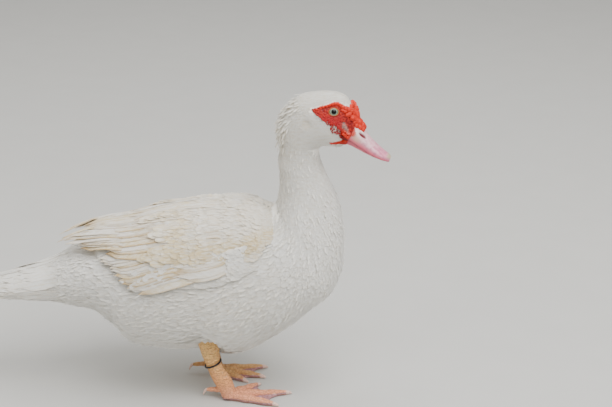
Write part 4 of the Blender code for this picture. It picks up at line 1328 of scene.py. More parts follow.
@dataclass
class CovertShell:
    """A hidden surface over a folded wing, on which small coverts are set."""

    rows, columns = 80, 60

    side: Side
    shape: ShellShape

    def build(self, material: Material) -> tuple[Piece, Array]:
        """Makes the surface with its lie, size and tint, and gives the share of feathers at each point."""
        shape = self.shape
        s, share = grid_of(np.linspace(shape.rear, shape.front, self.rows), np.linspace(0, 1, self.columns))
        degrees = WING.outline(s)[1] * (shape.upper + (shape.lower - shape.upper) * share)
        theta = np.radians(degrees) * self.side.value
        over = shape.rise_upper + (shape.rise_lower - shape.rise_upper) * share
        if shape is COVERTS:
            edge = np.minimum(0.75 + 2.5 * share, ramp(share, 1, -0.16))
            over = np.interp(s, [4.6, 6.5, 8.2], [0.0044, 0.0036, 0.0012]) * np.minimum(edge, 1)
        fade = swell(ramp(s, shape.front, -2.2))
        lift = (WING.lift(s, degrees) - 0.0026 * (1 - fade) + over) * fade - 0.0022 * (1 - fade)
        name = f"{shape.name}_shell_{self.side.word}"
        piece = mesh_piece(name, FLESH.points(s, theta, lift), grid_faces(self.rows, self.columns), material)
        here = FLESH.points(s, theta)
        back, down = unit(FLESH.points(s - 0.05, theta) - here), unit(FLESH.points(s, theta * 1.02) - here)
        swirl = shape.swirl * np.interp(s, [5.0, 7.0, 9.0, 10.1], [0.1, 0.7, 1.0, 0.6])
        swirl *= np.clip(share * 1.6, 0, 1)
        band = bell(share, 0.80, 0.14) + 0.6 * bell(s, 5.6, 0.8)
        root = FLESH.unwrap(s, theta)
        write_marks(
            piece.data,
            lie=back + down * swirl[:, None],
            size=np.interp(s, [4.5, 7.0, 9.0, 10.1], [1.50, 1.05, 0.68, 0.48]),
            tint=np.clip(shape.tint * (0.58 + 0.9 * band), 0, 1),
            root_uv=root,
            local_uv=np.full_like(root, 0.5),
        )
        if piece.data.polygons[0].normal.dot(Vector(FLESH.normals(s[:1], theta[:1])[0])) < 0:
            piece.data.flip_normals()
        ragged = shape.rear + 0.35 + 0.35 * np.sin(share * 23)
        ends = ramp(s, ragged, 1.8) * ramp(s, shape.front, -0.3)
        first = 1.0 if shape is COVERTS else np.clip(share / 0.08, 0, 1)
        return piece, ends * first * ramp(share, 1, -0.06)


class Plumage:
    """The small body feathers, region by region."""

    crowding = 1.6
    covert_density = 460000.0
    quick_share = 0.35

    def __init__(self, skin: Skin, material: Material) -> None:
        """Makes one scatter for each kind of feather."""
        self.skin = skin
        self.material = material
        self.broad, self.narrow, self.slender = (Scatter(forms) for forms in (BROAD, NARROW, SLENDER))

    def build(self, carrier: Piece) -> list[Piece]:
        """Dresses the carrier skin and returns the coat's pieces."""
        skin = self.skin
        turned = np.abs(skin.degrees)
        lower = ramp(turned, 84, 4)
        mantle = (turned < 15) * ramp(skin.s, 1.8, 0.4) * ramp(skin.s, 9.9, -0.3)
        crest = np.clip(1 - np.abs(skin.s - 21.8) / 2.6, 0, 1) * (turned < 55)
        body = skin.cover(-3.9, 10.6)
        upper = body * (1 - lower)
        regions = (
            ("plumage_head", self.broad, skin.cover(20.6, 29.1), 0.00110, 0.0125, 0.085, 0.12),
            ("plumage_neck", self.broad, skin.cover(15.2, 20.9), 0.00160, 0.0130, 0.060, 0.07),
            ("plumage_breast", self.broad, skin.cover(10.3, 15.5), 0.00210, 0.0155, 0.048, 0.08),
            ("plumage_mantle", self.broad, mantle, 0.00240, 0.0200, 0.060, 0.13),
            ("plumage_belly", self.broad, body * lower, 0.00215, 0.0160, 0.044, 0.08),
            ("plumage_flank_right", self.broad, upper * (skin.degrees >= 0), 0.00215, 0.0160, 0.048, 0.08),
            ("plumage_flank_left", self.broad, upper * (skin.degrees < 0), 0.00215, 0.0160, 0.048, 0.08),
            ("plumage_wisps", self.slender, skin.cover(-3.5, 21.5), 0.00420, 0.0140, 0.130, 0.30),
            ("plumage_crest", self.slender, crest * 0.8, 0.00200, 0.0250, 0.270, 0.38),
        )
        pieces = []
        for seed, (name, scatter, cover, distance, *form) in enumerate(regions):
            values = self._values(distance, self.crowding / distance**2, *form)
            pieces.append(scatter.dress(carrier, name, cover, SEED + seed, **values))
        values = self._values(0.0018, self.covert_density, 0.0190, 0.026, 0.10)
        for shape in (COVERTS, FLANK_OVER_WING):
            for side in Side:
                shell, cover = CovertShell(side, shape).build(self.material)
                name = f"{shape.name}_{side.word}"
                pieces.append(self.narrow.dress(shell, name, cover, shape.seed + side.value, **values))
                bpy.data.objects.remove(shell, do_unlink=True)
        return pieces

    def _values(self, distance: float, density: float, length: float, pitch: float, jitter: float) -> dict:
        """Args:
            distance: The least distance between two roots, in metres.
            density: How many roots are tried on a square metre.
            length: A full feather's length, in metres.
            pitch: How far feathers stand up, in radians.
            jitter: How far they turn from the lie, in radians.

        Returns:
            A dictionary for Scatter.dress.
        """
        share = 1.0
        numbers = (distance / math.sqrt(share), density * share, length, pitch, jitter)
        keys = ("Distance", "Density", "Length", "Pitch", "Jitter")
        return {**dict(zip(keys, numbers)), "Material": self.material}


class Wings:
    """The folded wings' long feathers, tier over tier."""

    def __init__(self, material: Material) -> None:
        """Seeds the wings' draws."""
        self.material = material
        self.rng = np.random.default_rng(SEED)
        self.maker = LongFeather(self.rng)

    def build(self, side: Side) -> Piece:
        """Makes one wing's feathers as one piece."""
        batch = Batch()
        for tier in WING.tiers:
            for i in range(tier.count):
                self._feather(batch, tier, i / (tier.count - 1), side)
        return batch.build(f"wing_feathers_{side.word}", self.material)

    def _feather(self, batch: Batch, tier: Tier, rank: float, side: Side) -> None:
        """Adds the feather of a tier at this rank, 0 for the lowest."""
        jitter = self.rng.uniform(-1, 1, 6)
        share = np.linspace(0, 1, LongFeather.stations)
        ends = np.array([tier.root_low, tier.root_high, tier.tip_low, tier.tip_high], float)
        root = ends[0] + (ends[1] - ends[0]) * rank
        tip = ends[2] + (ends[3] - ends[2]) * rank + np.array([0.26, 1.3]) * jitter[:2]
        s = root[0] + (tip[0] - root[0]) * share
        bow = (tier.bow + 1.2 * jitter[2]) * np.sin(math.pi * share)
        degrees = root[1] + (tip[1] - root[1]) * share + bow
        theta = np.radians(degrees) * side.value
        rise = tier.root_rise + (tier.tip_rise - tier.root_rise) * np.minimum(share / 0.5, 1.0)
        places = FLESH.points(s, theta, WING.lift(s, degrees) + rise + 0.0002 * jitter[3])
        ups = FLESH.normals(s, theta)
        down = FLESH.points(s, theta * 1.02) - FLESH.points(s, theta)
        down = unit(down - ups * np.einsum("ij,ij->i", down, ups)[:, None])
        tilt = math.radians(tier.tilt + 1.5 * jitter[4])
        ups = ups * math.cos(tilt) - down * math.sin(tilt)
        uv = FLESH.unwrap(s[:1], theta[:1])[0]
        tint = tier.lowest_tint if rank == 0 else float(np.clip(tier.tint * (1 + 0.6 * jitter[5]), 0, 1))
        self.maker.add(batch, places, ups, tier.half_width * (1 + 0.10 * jitter[4]), uv, tint, 0.045)


@dataclass(frozen=True)
class TailShape:
    """The tail: a closed fan of long feathers between rows of coverts."""

    feathers: int = 18
    root_x: float = -0.178
    tip_x: float = -0.2555
    tip_back: float = 0.020
    roll: float = 0.42
    half_width: float = 0.0062


class Tail:
    """The tail's long feathers and coverts."""

    def __init__(self, material: Material, shape: TailShape = TailShape()) -> None:
        """Seeds the tail's draws."""
        self.material = material
        self.shape = shape
        self.rng = np.random.default_rng(SEED + 1)
        self.maker = LongFeather(self.rng)

    def build(self) -> Piece:
        """Makes the tail's feathers as one piece."""
        batch = Batch()
        for i in range(self.shape.feathers):
            self._feather(batch, 2 * i / (self.shape.feathers - 1) - 1)
        for place in sorted(self.rng.uniform(-1, 1, (150, 3)).tolist(), key=lambda row: row[0]):
            self._covert(batch, place[1] * 1.5, -0.7 + 2.0 * place[0], 2.2, place[2] > 0)
        return batch.build("tail_feathers", self.material)

    def _feather(self, batch: Batch, rank: float) -> None:
        """Adds one long feather, from -1 at the right edge to 1 at the left edge."""
        shape = self.shape
        out = abs(rank)
        jitter = self.rng.uniform(-1, 1, 3)
        share = np.linspace(0, 1, LongFeather.stations)
        tip = shape.tip_x + shape.tip_back * out**2 + 0.0025 * jitter[0] + 0.001
        x = shape.root_x + (tip - shape.root_x) * share
        y = rank * (0.019 + 0.013 * share) + 0.0006 * jitter[1] * share
        root_z, tip_z = 0.1420 - 0.0110 * out, 0.1295 - 0.0014 * out
        z = root_z * (1 - share) + tip_z * share + 0.0005 * jitter[2] * share
        places = np.stack([x, y, z], axis=1)
        ups = np.tile([0.0, math.sin(rank * shape.roll), math.cos(rank * shape.roll)], (len(x), 1))
        uv = np.array([0.012 + 0.03 * (rank + 1), 0.25 + 0.2 * rank])
        self.maker.add(batch, places, ups, shape.half_width, uv, 0.30, 0.09)

    def _covert(self, batch: Batch, angle: float, start: float, reach: float, above: bool) -> None:
        """Adds one covert above or below, whose root is at ring number start."""
        jitter = self.rng.uniform(-1, 1, 3)
        share = np.linspace(0, 1, 7)
        s = start - reach * (1 + 0.15 * jitter[0]) * share
        angle += 0.04 * jitter[1]
        theta = np.full(len(share), angle if above else math.pi - angle)
        lift = -0.0018 + (0.0040 + 0.0006 * jitter[2]) * share
        held = np.maximum(s, -TAIL_RINGS)
        places = FLESH.points(held, theta, lift)
        places[:, 0] += (s - held) * 0.010
        uv = FLESH.unwrap(held[:1], theta[:1])[0]
        self.maker.add(batch, places, FLESH.normals(held, theta), 0.0060, uv, 0.12, 0.10)


class Face:
    """The bare red skin of one side of the head, with bulbs, granules and a ragged speckled lower edge."""

    rows = 170
    columns = 150
    granules = 700
    granule_radii = (0.0006, 0.0013)
    margin = 12.0
    spots = (
        (95, 25.2, 27.3, 1, -9, 0.0003, 0.0007, 0.0),
        (34, 27.3, 28.3, -21, -12, 0.0003, 0.0006, 0.0),
        (75, 25.4, 28.8, 0, 10, 0.0004, 0.0010, 1.0),
    )

    def __init__(self, side: Side, material: Material, shape: FaceShape = FACE) -> None:
        """Seeds one side's draws."""
        self.side = side
        self.material = material
        self.shape = shape
        self.rng = np.random.default_rng(SEED + 11 + side.value)

    def build(self) -> Piece:
        """Makes the sheet of bare skin; its rim dips under the plumage."""
        shape, sign = self.shape, self.side.value
        s_line = np.linspace(shape.s[0] + 0.02, LAST_RING + 0.02, self.rows)
        s, share = grid_of(s_line, np.linspace(0, 1, self.columns))
        s = np.minimum(s, LAST_RING)
        top, bottom = self._outline(s)
        degrees = top + (bottom + self.margin - top) * share
        theta = np.radians(degrees) * sign
        flat = FLESH.points(s, theta)
        bumps, deep, pale = self._relief(s, degrees, flat)
        bare = ramp(degrees, top, 2.4) * np.clip((bottom - degrees) / 2.5 + 0.5, 0, 1)
        bare *= ramp(s, shape.s[0], 0.35)
        bare = self._spots(bare, flat)
        points = FLESH.points(s, theta, (0.0004 + bumps) * bare - 0.0020 * (1 - bare))
        faces = grid_faces(self.rows, self.columns)
        piece = mesh_piece(f"face_skin_{self.side.word}", points, faces, self.material)
        # The height mark also places painted shade: the red finish darkens the low ground between bulbs.
        write_marks(piece.data, height=np.clip(bumps / 0.0022, 0, 1) ** 0.8, deep=deep, pale=pale)
        return piece

    def _outline(self, s: Array) -> tuple[Array, Array]:
        """The top and bottom angles of the bare skin; the left side starts a little lower."""
        shape = self.shape
        top, bottom = np.interp(s, shape.s, shape.top), np.interp(s, shape.s, shape.bottom)
        if self.side is Side.LEFT:
            top = top + 14 * ramp(s, 28.0, -0.4)
        top = top + (0.9 * np.sin(s * 29.0) + 0.6 * np.sin(s * 61.0)) * ramp(s, 28.2, -0.3)
        bottom = bottom + 1.2 * np.sin(s * 19.0) + 0.9 * np.sin(s * 43.0 + 1.0)
        return top, np.maximum(bottom, top + 0.5)

    def _spots(self, bare: Array, flat: Array) -> Array:
        """Lets white plumage break through the lower cheek, and red skin through the plumage below it.

        Args:
            bare: How bare each point is, 0 to 1.
            flat: The points before their relief.

        Returns:
            How bare each point is with the spots.
        """
        sign = self.side.value
        for count, low_s, high_s, start, reach, least, most, target in self.spots:
            at = self.rng.uniform(low_s, high_s, count)
            turn = self._outline(at)[1] + start + reach * self.rng.uniform(0, 1, count)
            middles = FLESH.points(at, np.radians(turn) * sign)
            for middle, radius in zip(middles, self.rng.uniform(least, most, count)):
                gap = np.linalg.norm(flat - middle, axis=1) / radius
                share = ramp(gap, 1.15, -0.3)
                bare = bare * (1 - share) + target * share
        return bare

    def _relief(self, s: Array, degrees: Array, flat: Array) -> tuple[Array, ...]:
        """Works out the bulbs' height, the crimson share and the pale share at each point."""
        sign = self.side.value
        bulbs = self.shape.bulbs
        if self.side is Side.LEFT:
            bulbs = tuple(bulb for bulb in bulbs if bulb[0] > 27.9 or bulb[1] > 60) + self.shape.left_bulbs
        middles = [np.array(FLESH.one(ring, turn * sign)) for ring, turn, _ in bulbs]
        height = domes(flat, middles, [radius for *_, radius in bulbs], 0.92, 1.04)
        seeds_s = self.rng.uniform(24.4, 28.9, self.granules)
        low, high = self._outline(seeds_s)
        seeds = FLESH.points(seeds_s, np.radians(self.rng.uniform(low, high)) * sign)
        grain = domes(flat, seeds, self.rng.uniform(*self.granule_radii, self.granules), 0.50)
        from_eye = np.linalg.norm(flat - np.array(FLESH.one(EYE_S, EYE_DEG * sign)), axis=1)
        calm = ramp(from_eye, 0.0056, 0.002)
        height = height * calm + grain * ramp(from_eye, 0.0052, 0.001)
        deep = ramp(degrees, 66, 14) * ramp(s, 27.5, -0.5)
        haze = 0.85 * bell(s, 27.95, 0.50) * bell(degrees, 90, 5.5)
        pale = haze * (0.62 + 0.38 * np.sin(s * 37 + degrees * 0.9) * np.sin(degrees * 1.3 - s * 11))
        return height, deep, pale


@dataclass
class Chin:
    """The narrow strip of bare red skin along the jaw, under the root of the bill."""

    rows, columns = 90, 30
    known_s = (24.0, 26.0, 27.5, 29.0)
    top = (132.0, 130.0, 127.0, 112.0)
    bottom = (137.0, 140.0, 150.0, 168.0)

    material: Material

    def build(self, side: Side) -> Piece:
        """Makes one side's strip; its rim dips under the plumage."""
        s_line = np.linspace(self.known_s[0], LAST_RING, self.rows)
        s, share = grid_of(s_line, np.linspace(0, 1, self.columns))
        top, bottom = np.interp(s, self.known_s, self.top), np.interp(s, self.known_s, self.bottom)
        degrees = top + (bottom - top) * share + 1.2 * np.sin(s * 21)
        theta = np.radians(degrees) * side.value
        rim = np.minimum(np.clip(np.minimum(share, 1 - share) / 0.2, 0, 1), ramp(s, self.known_s[0], 0.5))
        grain = 0.0004 * np.abs(np.sin(s * 23 + degrees * 0.5) * np.sin(degrees * 0.9 - s * 9))
        points = FLESH.points(s, theta, (0.0006 + grain) * rim - 0.0018 * (1 - rim))
        faces = grid_faces(self.rows, self.columns)
        piece = mesh_piece(f"chin_skin_{side.word}", points, faces, self.material)
        # Low grain gets a lower height, which the red finish paints darker: painted shade between the
        # grains.
        write_marks(piece.data, height=np.clip(grain / 0.0004, 0.3, 1), deep=0.0, pale=0.0)
        return piece


class Eye:
    """An eyeball with its painted iris, and the fleshy rim of its lids."""

    visible = 0.0053

    def __init__(self, side: Side, eye: Material, lid: Material) -> None:
        """Finds the eye's centre and axis on one side."""
        self.side = side
        self.eye = eye
        self.lid = lid
        self.centre = eye_centre(side)
        self.axis = FLESH.one_normal(EYE_S, EYE_DEG * side.value)

    def build(self) -> list[Piece]:
        """Makes the eyeball and its lids."""
        return [self._ball(), self._lids()]

    def _frame(self) -> Matrix:
        """Axes with Z out of the eye and X along the head."""
        forward = Vector((1, 0, 0)) - self.axis * self.axis.x
        forward.normalize()
        return Matrix((forward, self.axis.cross(forward), self.axis)).transposed()

    def _ball(self) -> Piece:
        """Makes the eyeball, with each point's reach from the middle of the pupil."""
        rows, around = 40, 48
        a, _, local = ball_of(np.linspace(0.0, math.pi, rows), around)
        bulge = 1 + 0.03 * bell(a, 0.0, 0.5)
        points = local * bulge[:, None] * (EYEBALL_RADIUS - 0.0001) @ np.array(self._frame()).T
        points += np.array(self.centre)
        piece = mesh_piece(f"eyeball_{self.side.word}", points, grid_faces(rows, around, True), self.eye)
        write_marks(piece.data, reach=np.sin(np.minimum(a, 1.5)) * EYEBALL_RADIUS / self.visible)
        return piece

    def _lids(self) -> Piece:
        """Makes the lids: an oval rim with a thin pale margin, thicker above."""
        around, across = 64, 14
        a, b = grid_of(full_turn(around), full_turn(across))
        upper = 0.5 + 0.5 * np.sin(a)
        minor = 0.00058 + 0.00030 * upper + 0.00005 * np.sin(a * 14)
        long, high = self.visible + 0.0004, self.visible - 0.0008
        out = np.stack([np.cos(a) * long, np.sin(a) * high], axis=1)
        way = np.stack([np.cos(a), np.sin(a)], axis=1)
        depth = EYEBALL_DEPTH + 0.0006 + minor * np.sin(b)
        local = np.column_stack([out + way * (minor * np.cos(b))[:, None], depth])
        points = local @ np.array(self._frame()).T + np.array(self.centre)
        faces = grid_faces(around + 1, across, True) % (around * across)
        piece = mesh_piece(f"eyelids_{self.side.word}", points, faces, self.lid)
        inner = np.clip(-np.cos(b), 0, 1) * np.clip(np.sin(b) + 0.6, 0, 1)
        write_marks(piece.data, height=0.75, deep=0.0, pale=np.clip(1.4 * inner, 0, 0.95))
        return piece


@dataclass
class Knob:
    """The lobed fleshy knob over the root of the bill."""

    voxel = 0.00035
    head_lobes = (
        (28.70, 0, 0.0008, 0.0058), (28.80, 34, 0.0012, 0.0036), (28.85, -38, 0.0008, 0.0048),
        (28.25, 14, 0.0016, 0.0036), (28.25, -16, 0.0010, 0.0042), (28.60, 9, 0.0014, 0.0044),
        (28.62, -10, 0.0012, 0.0046), (28.92, 19, 0.0012, 0.0044), (28.92, -19, 0.0010, 0.0048),
    )
    bill_lobes = (
        (0.62, 3, -0.0010, 0.0046), (0.24, 12, -0.0006, 0.0044), (0.34, -36, -0.0004, 0.0046),
        (0.22, 36, 0.0012, 0.0034), (0.84, -12, -0.0004, 0.0040), (0.86, 17, 0.0000, 0.0034),
        (0.58, 24, 0.0004, 0.0036), (0.56, -22, 0.0002, 0.0042),
    )

    material: Material

    def build(self) -> Piece:
        """Makes the knob: lobes fused into one skin, with folds between them."""
        rows, around = 14, 20
        _, _, ball = ball_of(np.linspace(0.05, math.pi - 0.05, rows), around)
        forms = Forms()
        lobes = [(FLESH, *lobe) for lobe in self.head_lobes] + [(BILL, *lobe) for lobe in self.bill_lobes]
        for loft, s, degrees, sunk, radius in lobes:
            middle = loft.one(s, degrees) - loft.one_normal(s, degrees) * sunk
            forms.add(ball * radius + np.array(middle), tube_faces(rows, around))
        piece, places = fused(forms.build("knob_rough", self.material), "bill_knob_skin", self.voxel, 3)
        height = np.full(len(places), -1.0)
        for (*_, radius), lobe in zip(lobes, forms.points):
            near = 1 - np.abs(np.linalg.norm(places - lobe.mean(axis=0), axis=1) / radius - 1) * 6
            height = np.maximum(height, near)
        # Points off the lobes get a low height, which the red finish paints dark: painted shade in the folds
        # between lobes.
        write_marks(piece.data, height=np.clip(height, 0, 1) * 0.9, deep=0.0, pale=0.0)
        return piece


@dataclass
class Bill:
    """The bill's two halves, with nostrils, nail and mouth line."""

    mouth = 0.70
    lower_width = 0.82
    gum_at = ((38, 52, 70, 86, 96), (0.0, 0.22, 0.62, 0.50, 0.0))
    gap = 0.0003
    steps = 72
    arc = 40

    material: Material

    def build(self) -> list[Piece]:
        """Makes the upper and the lower half."""
        return [self._half("upper"), self._half("lower")]

    def _half(self, which: str) -> Piece:
        """Makes one half as a closed tube, with dents and colour marks on its points."""
        low, high = (0.0, self.mouth) if which == "upper" else (self.mouth, 1.0)
        width = 1.0 if which == "upper" else self.lower_width
        start = math.acos(1 - 2 * low) if low > 0 else 0.0
        end = math.acos(1 - 2 * high) if high < 1 else math.pi
        angles = np.linspace(start, end, self.arc)
        mirrored = -angles[::-1]
        ring = np.concatenate([angles, mirrored[:-1]] if low == 0 else [angles[:-1], mirrored])
        s_line = np.linspace(0, len(BILL_RINGS) - 1.0, self.steps)
        s, theta = grid_of(s_line, ring)
        points = BILL.section(s, theta)
        points[:, 1] *= width
        if which == "lower":
            down = BILL.section(s, s * 0 + math.pi) - BILL.section(s, s * 0)
            points += down / np.linalg.norm(down, axis=1, keepdims=True) * self.gap
        normals = BILL.straight_normals(s, theta)
        points = BILL.turn.apply(points + normals * self._relief(s, theta, which)[:, None])
        faces = tube_faces(self.steps, len(ring), mirrored=True)
        piece = mesh_piece(f"bill_{which}_horn", points, faces, self.material)
        degrees = np.degrees(np.abs(theta))
        edge = ramp(degrees, 60, 50) if which == "upper" else np.full(len(s), 0.9)
        tan = bell(s, 0.75, 0.55) * bell(degrees, 84, 14)
        # The seam mark is painted shade along the mouth line, between the halves.
        seam = 0.75 * bell(np.abs(theta), end if which == "upper" else start, 0.08)
        write_marks(
            piece.data,
            along=s / (len(BILL_RINGS) - 1),
            around=edge,
            nail=ramp(s, 4.5, 0.5) * ramp(degrees, 70, -20),
            gum=self._gum(s, degrees),
            tan=0.75 * tan * ramp(degrees, 30, 20),
            # Painted shade: the nostril and the mouth line.
            dark=np.maximum(seam, self._nostril(s, theta)) if which == "upper" else seam,
        )
        return piece

    def _nostril(self, s: Array, theta: Array) -> Array:
        """How deep in a nostril each point is, 0 to 1."""
        turned = np.degrees(np.abs(theta))
        slot = ((s - 1.22) / 0.54) ** 2 + ((turned - 44 + 15 * (s - 1.22)) / 11) ** 2
        return np.clip(1.8 * (1 - slot), 0, 1)

    def _gum(self, s: Array, degrees: Array) -> Array:
        """How far the red skin reaches over the root of the bill at each point, 0 to 1."""
        reach = np.interp(degrees, *self.gum_at) + 0.08 * np.sin(degrees * 0.9)
        return ramp(s, reach, -0.10)

    def _relief(self, s: Array, theta: Array, which: str) -> Array:
        """The dents and ridges of the horn, in metres."""
        turned = np.degrees(np.abs(theta))
        if which == "lower":
            return 0.0001 * np.sin(s * 6)
        nostril = -0.0015 * self._nostril(s, theta)
        nail = 0.0004 * ramp(s, 4.6, 0.3) * ramp(turned, 60, -15)
        lip = 0.00035 * bell(turned, 108, 6)
        groove = -0.00025 * bell(turned, 88, 5) * np.clip(s / 1.5, 0, 1)
        folds = 0.00030 * self._gum(s, turned) * (1.4 + np.sin(s * 14) + 0.5 * np.sin(turned * 0.8))
        ridge = 0.00045 * bell(turned, 30, 7) * bell(s, 1.2, 0.5)
        return nostril + nail + lip + groove + folds + ridge


@dataclass(frozen=True)
class Stop:
    """One stop of a tube: its place and its two radii."""

    x: float
    y: float
    z: float
    along: float
    across: float


SHANK = (
    (0.0900, 0.0150, 0.0135),
    (0.0730, 0.0128, 0.0115),
    (0.0610, 0.0108, 0.0098),
    (0.0470, 0.0084, 0.0080),
    (0.0360, 0.0092, 0.0084),
    (0.0275, 0.0098, 0.0088),
    (0.0215, 0.0102, 0.0092),
)


@dataclass(frozen=True)
class LegShape:
    """One leg and foot: where the shank passes each level, then the ball and the toes' tips on the floor."""

    side: Side
    shank: tuple[tuple[float, float], ...]
    ball: tuple[float, float]
    outer: tuple[float, float]
    middle: tuple[float, float]
    inner: tuple[float, float]
    hallux: tuple[float, float]

    @property
    def stops(self) -> list[Stop]:
        """The shank's stops, from the thigh down to the ankle."""
        return [Stop(*place, *level) for place, level in zip(self.shank, SHANK)]


RIGHT_LEG = LegShape(
    side=Side.RIGHT,
    shank=(
        (0.0390, -0.0440), (0.0400, -0.0445), (0.0415, -0.0450), (0.0445, -0.0450),
        (0.0490, -0.0450), (0.0535, -0.0450), (0.0572, -0.0450),
    ),
    ball=(0.0635, -0.0450),
    outer=(0.1160, -0.0640),
    middle=(0.1310, -0.0335),
    inner=(0.0955, -0.0125),
    hallux=(0.0360, -0.0400),
)
LEFT_LEG = LegShape(
    side=Side.LEFT,
    shank=(
        (0.0270, 0.0380), (0.0280, 0.0365), (0.0290, 0.0350), (0.0310, 0.0325),
        (0.0342, 0.0303), (0.0372, 0.0288), (0.0398, 0.0277),
    ),
    ball=(0.0450, 0.0260),
    outer=(0.1010, 0.0385),
    middle=(0.0990, 0.0120),
    inner=(0.0790, 0.0010),
    hallux=(0.0150, 0.0300),
)


@dataclass
class Leg:
    """A bare leg with its webbed foot, claws and scutes."""

    toe_root, toe_tip = 0.0072, 0.0034
    hallux_root, hallux_tip = 0.0045, 0.0024
    toe_root_z, toe_tip_z = 0.0058, 0.0030
    hallux_root_z, hallux_tip_z = 0.0130, 0.0100
    claw_length = 0.0080
    scute = 0.0026
    voxel = 0.0007

    shape: LegShape
    skin: Material
    claw: Material
    forms: Forms = field(default_factory=Forms)

    def build(self) -> list[Piece]:
        """Makes the leg and foot as one skin, and the claws."""
        shape = self.shape
        stops = shape.stops
        ankle = stops[-1]
        stops.append(Stop(shape.ball[0] - 0.002, shape.ball[1], 0.0110, 0.0092, 0.0086))
        stops.append(Stop(shape.ball[0], shape.ball[1], 0.0035, 0.0088, 0.0084))
        self.forms.add(*self._tube(self._finer(stops, 5), 24))
        toes = {"outer": shape.outer, "middle": shape.middle, "inner": shape.inner}
        root = (*shape.ball, self.toe_root_z)
        for tip in toes.values():
            toe = self._toe(root, (*tip, self.toe_tip_z), self.toe_root, self.toe_tip)
            self.forms.add(*self._tube(toe, 16))
        back_root = (ankle.x, ankle.y, self.hallux_root_z)
        back_tip = (*shape.hallux, self.hallux_tip_z)
        back_toe = self._toe(back_root, back_tip, self.hallux_root, self.hallux_tip)
        self.forms.add(*self._tube(back_toe, 12))
        self._web(shape.outer, shape.middle)
        self._web(shape.middle, shape.inner)
        rough = self.forms.build("leg_rough", self.skin)
        piece, points = fused(rough, f"leg_skin_{shape.side.word}", self.voxel, 4)
        self._finish_skin(piece, points, [(root, (*tip, self.toe_tip_z)) for tip in toes.values()])
        claws = [
            self._claw(f"claw_horn_{name}_{shape.side.word}", root, (*tip, self.toe_tip_z), self.toe_tip)
            for name, tip in toes.items()
        ]
        claws.append(self._claw(f"claw_horn_hallux_{shape.side.word}", back_root, back_tip, self.hallux_tip))
        return [piece, *claws]

    def _finer(self, stops: list[Stop], steps: int) -> list[Stop]:
        """Adds stops on straight lines between the given ones."""
        known = np.arange(len(stops))
        line = np.linspace(0, len(stops) - 1, (len(stops) - 1) * steps + 1)
        columns = zip(*(astuple(stop) for stop in stops))
        return [Stop(*row) for row in zip(*(np.interp(line, known, column) for column in columns))]

    def _toe(self, root: tuple, tip: tuple, root_radius: float, tip_radius: float) -> list[Stop]:
        """Stops along a toe that swells at its joints."""
        stops = []
        for share in np.linspace(0, 1, 25):
            place = Vector(root).lerp(Vector(tip), share)
            swell = 1 + 0.09 * math.cos(share * 2 * math.pi * 2.6) * min(share * 4, 1)
            radius = (root_radius + (tip_radius - root_radius) * share) * swell
            stops.append(Stop(*place, radius * 0.9, radius))
        return stops

    def _tube(self, stops: list[Stop], sides: int) -> tuple[Array, list[tuple[int, ...]]]:
        """Gives the points and faces of a closed tube through the stops."""
        places = np.array([[stop.x, stop.y, stop.z] for stop in stops])
        ways = np.gradient(places, axis=0)
        turn = full_turn(sides)
        rings = []
        for place, way, stop in zip(places, ways, stops):
            way = Vector(way).normalized()
            across = Vector((0, 0, 1)).cross(way)
            across = across.normalized() if across.length > 0.3 else Vector((0, 1, 0))
            along = way.cross(across).normalized()
            across = np.array(along.cross(way))
            ahead, aside = np.cos(turn) * stop.along, np.sin(turn) * stop.across
            rings.append(place + (np.outer(ahead, np.array(along)) + np.outer(aside, across)))
        return np.concatenate(rings), tube_faces(len(stops), sides)

    def _web(self, tip_a: tuple, tip_b: tuple) -> None:
        """Adds the membrane between two toes, hollow at its front edge."""
        along, across = 14, 12
        t, u = grid_of(np.linspace(0, 1, along), np.linspace(0, 1, across))
        reach = ((0.2 + 0.8 * t) * (0.95 - 0.15 * np.sin(math.pi * u)))[:, None]
        ball = np.array(self.shape.ball)
        side_a, side_b = ball + (np.array(tip_a) - ball) * reach, ball + (np.array(tip_b) - ball) * reach
        flat = side_a + (side_b - side_a) * u[:, None]
        wave = 0.0002 * np.sin(u * 9 + t * 7)
        high, low = np.column_stack([flat, 0.0026 + wave]), np.column_stack([flat, np.full(len(u), 0.0004)])
        self.forms.add(np.concatenate([high, low]), sheet_faces(along, across))

    def _finish_skin(self, piece: Piece, points: Array, toes: list[tuple]) -> None:
        """Flattens the sole, raises scutes along the toes and marks the webs."""
        nearest = np.full(len(points), 1.0)
        ridge = np.zeros(len(points))
        for root, tip in toes:
            start, span = np.array(root), np.array(tip) - np.array(root)
            share = np.clip((points - start) @ span / (span @ span), 0, 1)
            off = np.linalg.norm((points - start - share[:, None] * span)[:, :2], axis=1)
            radius = self.toe_root + (self.toe_tip - self.toe_root) * share
            near = off / radius
            scutes = np.sin(share * np.linalg.norm(span) / self.scute * 2 * math.pi)
            ridge = np.where(near < nearest, scutes, ridge)
            nearest = np.minimum(nearest, near)
        raised = (points[:, 2] > 0.003) & (points[:, 2] < 0.016) & (nearest < 0.8)
        points[:, 2] = np.maximum(points[:, 2] + np.where(raised, 0.00016 * ridge, 0.0), 0.0)
        piece.data.vertices.foreach_set("co", points.astype(np.float32).ravel())
        write_marks(piece.data, web=ramp(nearest, 0.55, 0.3) * (points[:, 2] < 0.0045))

    def _claw(self, name: str, root: tuple, tip: tuple, radius: float) -> Piece:
        """Makes one blunt claw that bends down to the floor."""
        way = (Vector(tip) - Vector(root)).normalized()
        start = Vector(tip) - way * 0.0008
        length = self.claw_length * radius / self.toe_tip
        stops = []
        for share in np.linspace(0, 1, 12):
            place = start + way * (length * share)
            drop = (start.z - 0.0012) * max(share - 0.1, 0.0) ** 2
            size = math.sqrt(max(1 - share**1.6, 0.012))
            stops.append(Stop(place.x, place.y, place.z - drop, radius * 0.80 * size, radius * 0.72 * size))
        return mesh_piece(name, *self._tube(stops, 14), self.claw)


